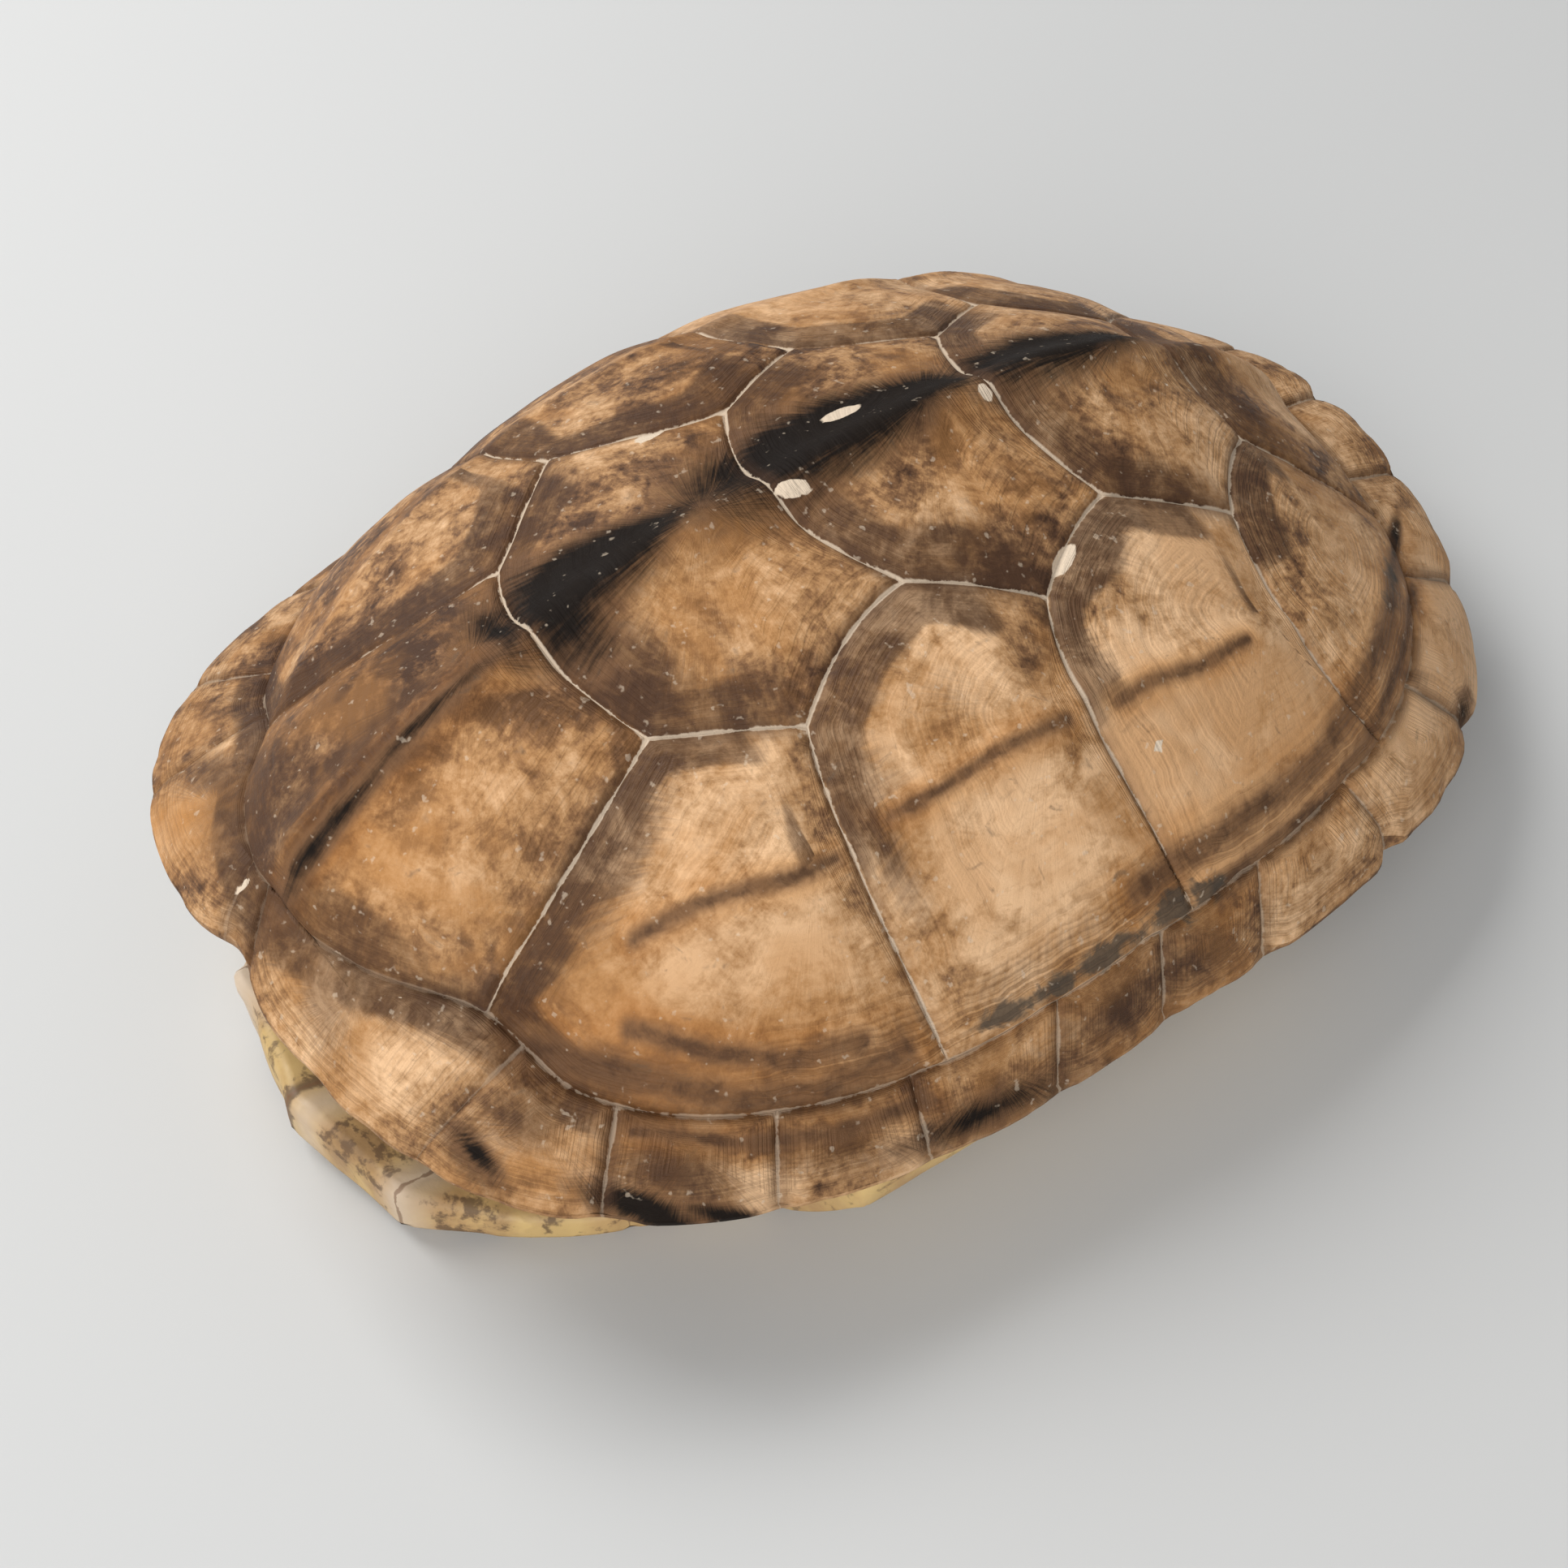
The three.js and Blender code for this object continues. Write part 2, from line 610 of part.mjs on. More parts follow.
function plastron() {
  const skin = new Skin();
  const net = plastronNet(skin);
  const onSide = (names, side) => names.map((name) => (net.corners[name] ? name : `${name}${side}`));
  for (const [side, sign] of sides) {
    for (const { corners, centre } of plastronScutes) {
      net.scute(onSide(corners, side), leaned([sign * centre[0], centre[1]]), plastronLoops);
    }
  }
  const left = onSide(plastronEdge, 'L');
  const right = onSide(plastronEdge, 'R').reverse();
  const border = net.border(['frontMiddle', ...left, 'analNotch', ...right]);

  // The edge stands up to the inner face, and at the bridge to the underside of the carapace's rim.
  const edgePoint = ({ at: [x, y], ring }, inward) => {
    if (ring) {
      const seat = underRim(angleOf([x, y]), rimEdge + inward * (lipWidth - 2 * rimEdge));
      return seat.setZ(seat.z - jointGap);
    }
    const shrink = 1 - (inward * plastronEdgeRound) / Math.hypot(x, y);
    const [insideX, insideY] = [x * shrink, y * shrink];
    const drop = (1 - inward) * plastronEdgeRound;
    return new THREE.Vector3(insideX, insideY, plastronInside(x, y) - drop);
  };
  let outer = border.map((point) => point.index);
  const addLoop = (points) => {
    const inner = points.map((point) => skin.add(point));
    skin.strip(outer, inner);
    outer = inner;
    return points;
  };
  addLoop(border.map((point) => edgePoint(point, 0)));
  const seat = addLoop(border.map((point) => edgePoint(point, 1)));
  for (const share of plastronInnerLoops) {
    addLoop(seat.map(({ x, y }) => {
      return new THREE.Vector3(x * share, y * share, plastronInside(x * share, y * share));
    }));
  }
  skin.fan(outer, skin.add(new THREE.Vector3(0, 0, plastronThickness)));
  const bone = new THREE.MeshStandardMaterial({ color: 0xd9bf7c, roughness: 0.6, metalness: 0 });
  return skin.mesh('plastron', bone);
}

const shell = new THREE.Group();
shell.add(carapace(), plastron());

export default shell;
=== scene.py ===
"""An empty turtle shell: fine carapace and plastron in place of the plain solids, and a soft stage.

Laid out as an add-on. Millimetres inside the modelling code, metres in the finished meshes.
The head end is at -Y, the tail end at +Y, and +X is the animal's left side.
"""

import math

import bmesh
import bpy
import numpy as np
from mathutils import Matrix, Vector, kdtree, noise


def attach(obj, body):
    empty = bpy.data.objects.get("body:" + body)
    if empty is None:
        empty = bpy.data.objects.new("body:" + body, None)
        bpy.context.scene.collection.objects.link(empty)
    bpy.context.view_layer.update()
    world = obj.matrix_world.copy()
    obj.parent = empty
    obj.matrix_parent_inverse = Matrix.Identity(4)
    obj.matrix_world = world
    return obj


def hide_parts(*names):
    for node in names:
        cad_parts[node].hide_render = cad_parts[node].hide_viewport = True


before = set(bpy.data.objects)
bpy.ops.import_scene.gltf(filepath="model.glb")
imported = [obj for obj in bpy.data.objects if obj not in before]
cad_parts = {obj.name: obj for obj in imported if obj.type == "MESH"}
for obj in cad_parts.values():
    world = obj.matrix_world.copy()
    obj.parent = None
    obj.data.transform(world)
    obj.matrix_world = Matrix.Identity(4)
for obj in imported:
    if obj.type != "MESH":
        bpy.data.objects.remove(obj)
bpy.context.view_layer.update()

bl_info = {
    "name": "Turtle Shell",
    "version": (1, 0, 0),
    "blender": (4, 5, 0),
    "location": "3D View > Sidebar > Turtle Shell",
    "description": "Makes an empty turtle shell with horny scutes, a plastron and a stage",
    "category": "Add Mesh",
}

MM = 0.001

# ---- Form of the shell: millimetres, and degrees about the crown ----
# Sections run from the head end (-90) past the side (0) to the tail end (90).

SECTIONS = {
    "angle": (-90, -80, -70, -60, -30, 0, 30, 60, 90),
    "groove_reach": (0.92, 0.885, 0.823, 0.853, 0.907, 0.928, 0.903, 0.875, 0.882),
    "groove_height": (31.8, 31.4, 29, 23.9, 21.6, 23.7, 22.6, 20.3, 21),
    "rim_height": (27.4, 26.1, 23.4, 20.8, 15.7, 15.5, 14, 12.4, 19.3),
    "fullness": (2.35, 2.35, 2.33, 2.3, 2.27, 2.15, 1.75, 1.8, 2.39),
}

# Seams between marginal scutes, first to last: degrees on the groove and on the rim, notch in mm.
MARGINAL_SEAMS = (
    (-66.1, -69.1, 0.3),
    (-57.3, -55.7, 0.4),
    (-43.7, -42.8, 0.3),
    (-30.9, -29.6, 0.3),
    (-13.9, -15.5, 0.3),
    (0.4, -1.4, 0.4),
    (15.7, 12.8, 0.5),
    (31.2, 32.4, 1.1),
    (47.6, 49.8, 1.2),
    (63.5, 66.5, 1.0),
    (77.7, 78.8, 0.8),
)
NOTCH_HALF_ANGLE = 1.6
NECK_NOTCH = 1.6
NECK_NOTCH_HALF_ANGLE = 3.6
TAIL_NOTCH = 1.4
NOTCH_REACH = 0.88
CROWN_Y = 3.0
CROWN_SLOPE = -0.038
PLAN_SQUARENESS = 2.75
DOME_SHOULDER = 0.85
KEEL_HALF_WIDTH = 2.8
SIDE_KEEL_X = 29.8
SIDE_KEEL_BEND_Y = -18.0
SIDE_KEEL_CLOSE_IN = 0.35
SIDE_KEEL_HALF_WIDTH = 1.8
# The keels fade out over the lowest sixth of the dome.
KEEL_FADE = 6
# The dome's slope is measured over this far to each side.
SLOPE_STEP = 0.4
RIM_EDGE = 1.3
LIP_WIDTH = 5.0
LIP_RISE = 0.8
JOINT_GAP = 0.3
EDGE_ROUND = 0.9
BRIDGE_START_X = 31.0
BRIDGE_INSIDE_X = 28.0
BRIDGE_THICKENING = 1.5
# The front end of the plastron turns up, thickens on its inside and leans a little to the left.
FRONT_START = -45.0
FRONT_TIP = -65.0
FRONT_UPTURN = 1.6
FRONT_LIP = 3.6
FRONT_LEAN = 2.6
REAR_UPTURN = 1.0
REAR_START = 42.0
REAR_TIP = 55.5

GROOVE_ENDS = {"v1c1": -69.8, "c1c2": -27, "c2c3": 5.2, "c3c4": 38.5, "v5c4": 71.2}
# The small cervical scute lies a little to the right of the middle line.
CERVICAL_SEAMS = {"marginal0L": -91.1, "marginal0R": -94.4, "rim0L": -88.1, "rim0R": -92.1}
VERTEBRAL_CORNERS = {
    "v1v2": ((13.1, -28), (-10.5, -28.2)),
    "v2side": ((20.1, -16.5), (-20.7, -16.8)),
    "v2v3": ((13.8, -1.5), (-13, -1.8)),
    "v3side": ((20.6, 9.3), (-18.6, 9.6)),
    "v3v4": ((13.5, 21.5), (-12.6, 22.5)),
    "v4side": ((18.6, 33.3), (-18.6, 32.1)),
    "v4v5": ((10.9, 41.5), (-10.1, 42.5)),
}
# Seams that aren't straight pass through these points.
CARAPACE_BENDS = {
    ("v1v2L", "v1v2R"): (0, -31),
    ("v2v3L", "v2v3R"): (0, -6),
    ("v3v4L", "v3v4R"): (0, 18.6),
    ("v4v5L", "v4v5R"): (0, 41),
    ("v1c1L", "v1v2L"): (17, -39),
    ("v1c1R", "v1v2R"): (-13, -40.3),
    ("v2sideL", "v2v3L"): (15.6, -8.7),
    ("v2sideR", "v2v3R"): (-15.5, -9),
    ("v3sideL", "v3v4L"): (16.4, 15.2),
    ("v3sideR", "v3v4R"): (-15, 15.9),
    ("v4sideL", "v4v5L"): (14.1, 37),
    ("v4sideR", "v4v5R"): (-13.8, 37),
    ("c1c2L", "v2sideL"): (30.4, -19.1),
    ("c1c2R", "v2sideR"): (-30.4, -19.1),
    ("c2c3L", "v3sideL"): (30.2, 6),
    ("c2c3R", "v3sideR"): (-29.8, 6),
    ("c3c4L", "v4sideL"): (30, 31.1),
    ("c3c4R", "v4sideR"): (-30, 31.1),
    ("v4v5L", "v5c4L"): (14.8, 47.5),
    ("v4v5R", "v5c4R"): (-14.3, 48),
}
VERTEBRAL_CENTRES = (-37, -13, 11.5, 34, 48.5)
VERTEBRAL_TONES = (-0.09, -0.06, -0.04, 0.03, 0)
COSTAL_CENTRES = ((28.6, -22), (29, 2.5), (28.8, 27.5), (23.5, 42))
# From the head end to the tail end: left, right. The right side's tones are darker as painted
# shade, for the side turned away from the light.
COSTAL_TONES_AND_SHADE = ((0.01, -0.07), (0.06, -0.1), (0.21, 0.11), (0.06, 0.05))
# From the head end to the tail end, on each side. The eighth to tenth are lighter partly as painted
# light over the shade that falls on the rear marginals.
MARGINAL_TONES_AND_LIGHT = (0.05, 0.03, -0.01, -0.05, -0.04, -0.03, -0.02, 0.12, 0.14, 0.12, 0.05, 0)
COSTAL_CORNERS = (
    (("v2side", "v1v2"), ("v1c1", "c1c2")),
    (("v3side", "v2v3", "v2side"), ("c1c2", "c2c3")),
    (("v4side", "v3v4", "v3side"), ("c2c3", "c3c4")),
    (("v4v5", "v4side"), ("c3c4", "v5c4")),
)

PLASTRON_EDGE = {
    "gular_corner": (15.2, -61.8),
    "humeral": (29.6, -45),
    "axilla": (35.5, -34),
    "inguinal": (35, 25),
    "femoral": (29.5, 41),
    "anal_corner": (11, 55.5),
}
PLASTRON_ENDS = {"front_middle": FRONT_TIP, "anal_notch": 51}
PLASTRON_MIDDLE = {
    "gular_middle": -51,
    "humeral_middle": -38,
    "pectoral_middle": -15,
    "abdominal_middle": 12,
    "femoral_middle": 32,
}
BRIDGE_ANGLES = {"bridge_front": -36, "bridge_middle": -10, "bridge_rear": 22}
PLASTRON_BENDS = {
    ("gular_corner", "humeral"): (24, -52.8),
    ("gular_corner", "gular_middle"): (9, -55),
    ("femoral", "inguinal"): (33.6, 33),
    ("anal_corner", "femoral"): (22, 50.3),
}
PLASTRON_SCUTES = (
    (("front_middle", "gular_corner", "gular_middle"), (5.5, -57)),
    (("gular_middle", "gular_corner", "humeral", "humeral_middle"), (13, -48)),
    (
        ("humeral_middle", "humeral", "axilla", "bridge_front", "bridge_middle", "pectoral_middle"),
        (20, -27),
    ),
    (("pectoral_middle", "bridge_middle", "bridge_rear", "inguinal", "abdominal_middle"), (20, 2)),
    (("abdominal_middle", "inguinal", "femoral", "femoral_middle"), (16, 27)),
    (("femoral_middle", "femoral", "anal_corner", "anal_notch"), (10, 42)),
)

# Rings from the border of a scute to its growth centre, and how they crowd towards the border.
BIG_SCUTE_RINGS = 24
SMALL_SCUTE_RINGS = 11
RING_CROWDING = 1.3

# ---- Marks on the horn ----
# Dark creases along the keels and the lower borders, partly rust-brown stain and partly painted
# shade where the surface bends at the side keels: width in mm, and points in plan.
CREASES = (
    (1.3, ((1.0, -58.5), (1.9, -54), (1.5, -48), (1.0, -40), (0, -33))),
    (0.8, ((24.2, -37.5), (25.6, -32.2), (27.4, -27.4), (28.6, -24.6), (29.5, -20.5))),
    (0.8, ((29.4, -15), (29.9, -9.5), (29.8, -4), (30.5, 3.4))),
    (0.8, ((30.9, 8.5), (30.5, 13), (30.8, 18), (30.2, 24.5))),
    (1.5, ((22.5, -49), (27, -45.2), (32, -40.6), (36.5, -36), (39.5, -30), (41.2, -22))),
    (1.0, ((28, -41), (33, -36.5), (37, -31), (39, -25))),
    (0.9, ((33, -44.6), (39, -37), (42.2, -30), (44, -22))),
    (1.4, ((42, 2), (41.6, 12), (40, 25), (36.8, 33), (31, 42.5), (23.5, 52))),
    (1.0, ((44.4, 10), (42.4, 25), (39, 33.8), (33.5, 43), (26, 52.5))),
)
# The mesh is finer within this many widths of a crease.
CREASE_REACH = 1.6
CREASE_CUTS = 2
# Patches in plan: x, y, half length, half width, degrees that the length is turned, strength, and
# for a wedge how much wider its far end is than its near one.
CARAPACE_MARKS = {
    "black": (
        (-2.4, -22.5, 8.5, 3.3, -90, 1.4, 0.3),
        (-2.2, -11, 5, 1.8, -90, 0.6),
        (-1.5, -27.8, 6, 3.2, 0, 1.1),
        (-2.8, 4.5, 13, 3.8, -90, 1.4, 0.3),
        (-2.4, 29, 10, 3.2, -90, 1.3, 0.3),
        (-2.5, -32.6, 4, 2, 0, 0.9),
        (1.7, -53.5, 6.5, 0.8, -88, 0.85, 0.3),
        (0.9, -43, 8, 0.55, -86, 0.72),
        (27.2, -56.4, 2.2, 0.7, 12, 1),
        (38.2, -47.4, 4.5, 1.1, 41, 1.1),
        (46.6, -18, 8, 0.8, 82, 0.8),
        (37.5, 49.5, 2.4, 1, 127, 0.7),
        (20.5, 55, 3.6, 0.5, 132, 1),
        (42.6, -41, 4.5, 0.6, 52, 1),
    ),
    "dark": (
        (-7, -55.5, 8, 4.5, 0, 1.1),
        (-3, -45, 9, 2.5, 90, 0.7),
        (0.4, -50, 10, 1.3, 90, 1),
        (3, -57.5, 5, 2.5, 0, 0.8),
        (8, -25.5, 6, 3.4, 15, 1),
        (15.5, -20, 6, 2.8, 54, 0.9),
        (7, -1.8, 6, 2.2, 20, 0.8),
        (15, 4.5, 7, 3.4, 56, 1.1),
        (-9.5, 3, 7, 3, 90, 0.4),
        (7, 22, 6, 2.6, 15, 1),
        (15, 28, 6, 2.8, 58, 1.1),
        (18, -10, 7, 3, 110, 0.7),
        (24.5, -15.5, 5, 2.6, 20, 0.8),
        (24.5, -5, 5, 3.5, 100, 0.42),
        (30.5, -16.4, 5, 1.6, 0, 0.9),
        (26, 8.5, 5, 1.8, 8, 0.9),
        (19, 15.5, 6, 3, 110, 0.7),
        (18.2, -35.5, 6.5, 2.8, 110, 1.15),
        (30.5, -46, 5, 1.5, 48, 1),
        (27, -56.8, 3.2, 1.5, 10, 1.2),
        (10.5, -57.6, 5, 1.4, 27, 1),
        (0, -61.5, 4, 1.8, 0, 0.9),
        (-7, 26, 8, 4, 90, 0.5),
        (8, -59, 7, 2.2, 155, 0.9),
        (18.5, -52, 8, 2, 38, 1.15),
        (27, -52, 4, 2.5, 50, 0.9),
        (-16, -55, 7, 2.5, 20, 1.1),
        (37, -44, 7, 2.5, 50, 0.95),
        (43, -30, 8, 1.8, 70, 0.8),
        (46.5, 0, 14, 1.6, 90, 0.8),
        (35, 43, 3, 0.8, 90, 0.8),
        (43.5, 20, 8, 1.6, 100, 0.4),
        (8, 44, 8, 3, 20, 0.9),
    ),
    "pale": (
        (-4.7, 5.5, 2.3, 0.8, 90, 1),
        (1.6, -4.4, 2, 0.75, 68, 1),
        (18, 13.2, 2.3, 0.8, 120, 0.95),
        (34.8, 10.3, 1, 0.6, 90, 0.9),
        (-14.6, -9, 1.9, 0.8, 90, 0.9),
        (4.4, 36.6, 1.1, 0.8, 0, 0.6),
        (25.7, 27.6, 1.3, 0.9, 90, 0.55),
        (17.4, 17.8, 1, 0.5, 60, 0.6),
        (1.2, 17.4, 1.1, 0.9, 0, 0.8),
        (-3.5, -60.5, 1.5, 0.7, 60, 0.75),
        (19, -36, 6.5, 0.3, 108, 0.62),
        (14.5, -55.2, 0.7, 0.6, 0, 0.6),
    ),
    "grey": (
        (43, -13, 2.2, 0.45, 78, 1.3),
        (43.7, -8, 2.2, 0.45, 85, 1.3),
        (44, -2.6, 3, 0.6, 88, 1.4),
        (43.9, 5, 1.9, 0.8, 90, 1.4),
        (44.1, 9, 1.8, 0.5, 92, 1.3),
        (25.5, 48.5, 5, 0.8, 130, 0.7),
    ),
    # Lighter patches of horn; the broad ones low on the left costals are painted light, on faces
    # turned towards the light.
    "light": (
        (38, -5, 12, 6, 90, 1),
        (18, -58.5, 7, 4, 30, 0.9),
        (21, -26, 8, 6, 60, 0.7),
        (34, -28, 8, 5, 60, 0.6),
        (37, 20, 13, 5, 90, 0.9),
        (11, -47, 8, 5.5, 90, 0.85),
        (8, -12, 8, 6, 90, 0.4),
        (11, 13, 6, 4, 90, 0.4),
        (28, 53, 9, 4, 128, 0.4),
        (-9, -42, 9, 5, 90, 0.3),
        (-10, -15, 9, 5, 90, 0.25),
        (-28, 0, 24, 8, 90, 0.15),
        (-15.5, -60.5, 5, 2.4, 20, 0.5),
        (42, -38, 2.4, 1.5, 45, 2),
        (45.3, -26, 2.6, 1.2, 80, 2),
        (33.4, 8, 2, 0.9, 90, 1.5),
    ),
    "warm": (
        (8, -46, 10, 7, 90, 0.6),
        (5, -12, 8, 6, 90, 0.45),
        (28, -38, 10, 5, 60, 0.6),
        (-15.5, -60, 6, 3.2, 20, 1.7),
        (31, -53, 4, 3, 40, 0.8),
        (36, 18, 12, 5, 90, 0.4),
        (28, 53, 9, 4, 128, 0.5),
    ),
}
PLASTRON_MARKS = {
    "dark": (
        # The first three darken the front edge between its corners, as painted shadow under the
        # carapace's rim; the others are stains.
        (11, -61.5, 4, 1.6, 10, 0.6),
        (2.6, -64.6, 2.4, 0.6, 80, 1.1),
        (-6, -61.5, 4, 1.8, -10, 0.6),
        (22, -53, 4, 2, 50, 0.7),
        (19, -27, 8, 6, 80, 0.7),
        (-19, -26, 8, 6, 100, 0.7),
        (20, 1, 9, 6, 85, 0.65),
        (-20, 2, 9, 6, 95, 0.65),
        (15, 26, 6, 5, 60, 0.65),
        (-15, 27, 6, 5, 120, 0.65),
        (9, 43, 4, 3, 90, 0.5),
        (-9, 43, 4, 3, 90, 0.5),
        (13, -47, 5, 3.5, 30, 0.5),
        (-13, -47, 5, 3.5, -30, 0.5),
    ),
}
# A wedge is never narrower or wider than these shares of its half width.
TAPER_LIMITS = (0.2, 3)
# Pale tips of the plastron's front edge, as patches.
FRONT_TIPS = (
    (17.4, -61.8, 1.8, 1.8, 0, 0.9),
    (-11.6, -62, 2.8, 2.8, 0, 1.2),
    (5, -64.2, 1.5, 1.1, 0, 0.8),
)

# The floor lies a hair under the plastron's flat face.
FLOOR_DROP = -0.0001
FLOOR_HALF_SIZE = 3.0
FLOOR_ROUGHNESS = 0.85
# Lights in metres: where they stand and how wide they are.
KEY_PLACE, KEY_SIZE = (-0.42, -0.14, 0.52), 0.4
FILL_PLACE, FILL_SIZE = (0.4, -0.45, 0.35), 0.6
SKY_COLOUR = (0.95, 0.97, 1.0)
SENSOR_WIDTH = 36
CLIP_START = 0.01

# ---- Settings that a user would change ----


def length_setting(name, description, default):
    return bpy.props.FloatProperty(
        name=name, description=description, default=default, unit="LENGTH"
    )


def angle_setting(name, description, degrees):
    return bpy.props.FloatProperty(
        name=name, description=description, default=math.radians(degrees), unit="ROTATION"
    )


def power_setting(name, description, default):
    return bpy.props.FloatProperty(
        name=name, description=description, default=default, unit="POWER"
    )


def colour_setting(name, description, default):
    return bpy.props.FloatVectorProperty(
        name=name, description=description, subtype="COLOR", min=0, max=1, default=default
    )


class ShellSizes(bpy.types.PropertyGroup):
    """Real sizes of the shell"""

    length: length_setting("Length", "Carapace from head end to tail end", 0.130)
    width: length_setting("Width", "Carapace across its widest part", 0.0968)
    crown_height: length_setting("Crown Height", "Top of the dome without its keel", 0.0471)
    keel_height: length_setting("Keel Height", "Rise of the middle keel", 0.0021)
    side_keel_height: length_setting("Side Keel Height", "Rise of the two side keels", 0.0007)
    seam_depth: length_setting("Seam Depth", "Depth of the seams between the scutes", 0.0005)
    scute_swell: length_setting("Scute Swell", "How far a scute bulges over its seams", 0.0006)
    wall: length_setting("Wall", "Thickness of the carapace", 0.003)
    plastron_thickness: length_setting("Plastron Thickness", "Thickness of the plastron", 0.0034)
    mesh_spacing: length_setting("Mesh Spacing", "Distance between points along a seam", 0.001)


class HornColours(bpy.types.PropertyGroup):
    """Colours of the horn and bone"""

    pale: colour_setting("Pale", "Worn middle of the scutes", (0.82, 0.52, 0.29))
    tan: colour_setting("Tan", "Open middle of the scutes", (0.44, 0.24, 0.106))
    golden: colour_setting("Golden", "Warm clouds", (0.48, 0.22, 0.066))
    brown: colour_setting("Brown", "Clouds and growth rings", (0.2, 0.1, 0.046))
    dark: colour_setting("Dark", "Borders of the scutes", (0.072, 0.035, 0.019))
    black: colour_setting("Black", "Streaks along the middle keel", (0.007, 0.005, 0.004))
    cream: colour_setting("Cream", "Seams and chips", (0.74, 0.6, 0.45))
    grey: colour_setting("Grey", "Dirt in the grooves", (0.058, 0.05, 0.04))
    yellow: colour_setting("Yellow", "Plastron", (0.72, 0.5, 0.2))
    bone: colour_setting("Bone", "Inside of the shell", (0.6, 0.5, 0.36))


class StageSetup(bpy.types.PropertyGroup):
    """Camera, floor and light"""

    azimuth: angle_setting("Azimuth", "Turn of the camera round the shell", 57.283)
    elevation: angle_setting("Elevation", "How far the camera looks down", 51.729)
    roll: angle_setting("Roll", "Lean of the camera", -3.62)
    camera_place: bpy.props.FloatVectorProperty(
        name="Camera Place",
        description="Position of the camera",
        default=(0.134894, -0.092907, 0.210059),
        unit="LENGTH",
    )
    lens: bpy.props.FloatProperty(name="Lens", description="Focal length in mm", default=59.18)
    floor_colour: colour_setting("Floor", "Colour of the floor", (0.6, 0.6, 0.59))
    key_power: power_setting("Key Light", "Power of the main light", 3.8)
    fill_power: power_setting("Fill Light", "Power of the light from the front", 3.2)
    sky: bpy.props.FloatProperty(
        name="Sky", description="Strength of the light from all sides", default=0.32
    )


# ---- Surfaces, worked out on whole arrays of points ----


def bell(distance, half_width):
    return np.exp(-((distance / half_width) ** 2))


def angle_of(x, y):
    return np.degrees(np.arctan2(y - CROWN_Y, x))


def folded(angle):
    """Both sides are alike: the angle on the right side is folded over to the left."""
    return np.degrees(np.arcsin(np.clip(np.sin(np.radians(angle)), -1, 1)))


def front_share(y):
    """How far forward a point of the plastron's front end lies: 1 is the tip."""
    return np.maximum(0, (y - FRONT_START) / (FRONT_TIP - FRONT_START))


def stacked(x, y, z):
    return np.stack([x, y, z + np.zeros_like(x)], -1)


def add_object(name, data):
    made = bpy.data.objects.new(name, data)
    bpy.context.scene.collection.objects.link(made)
    return made


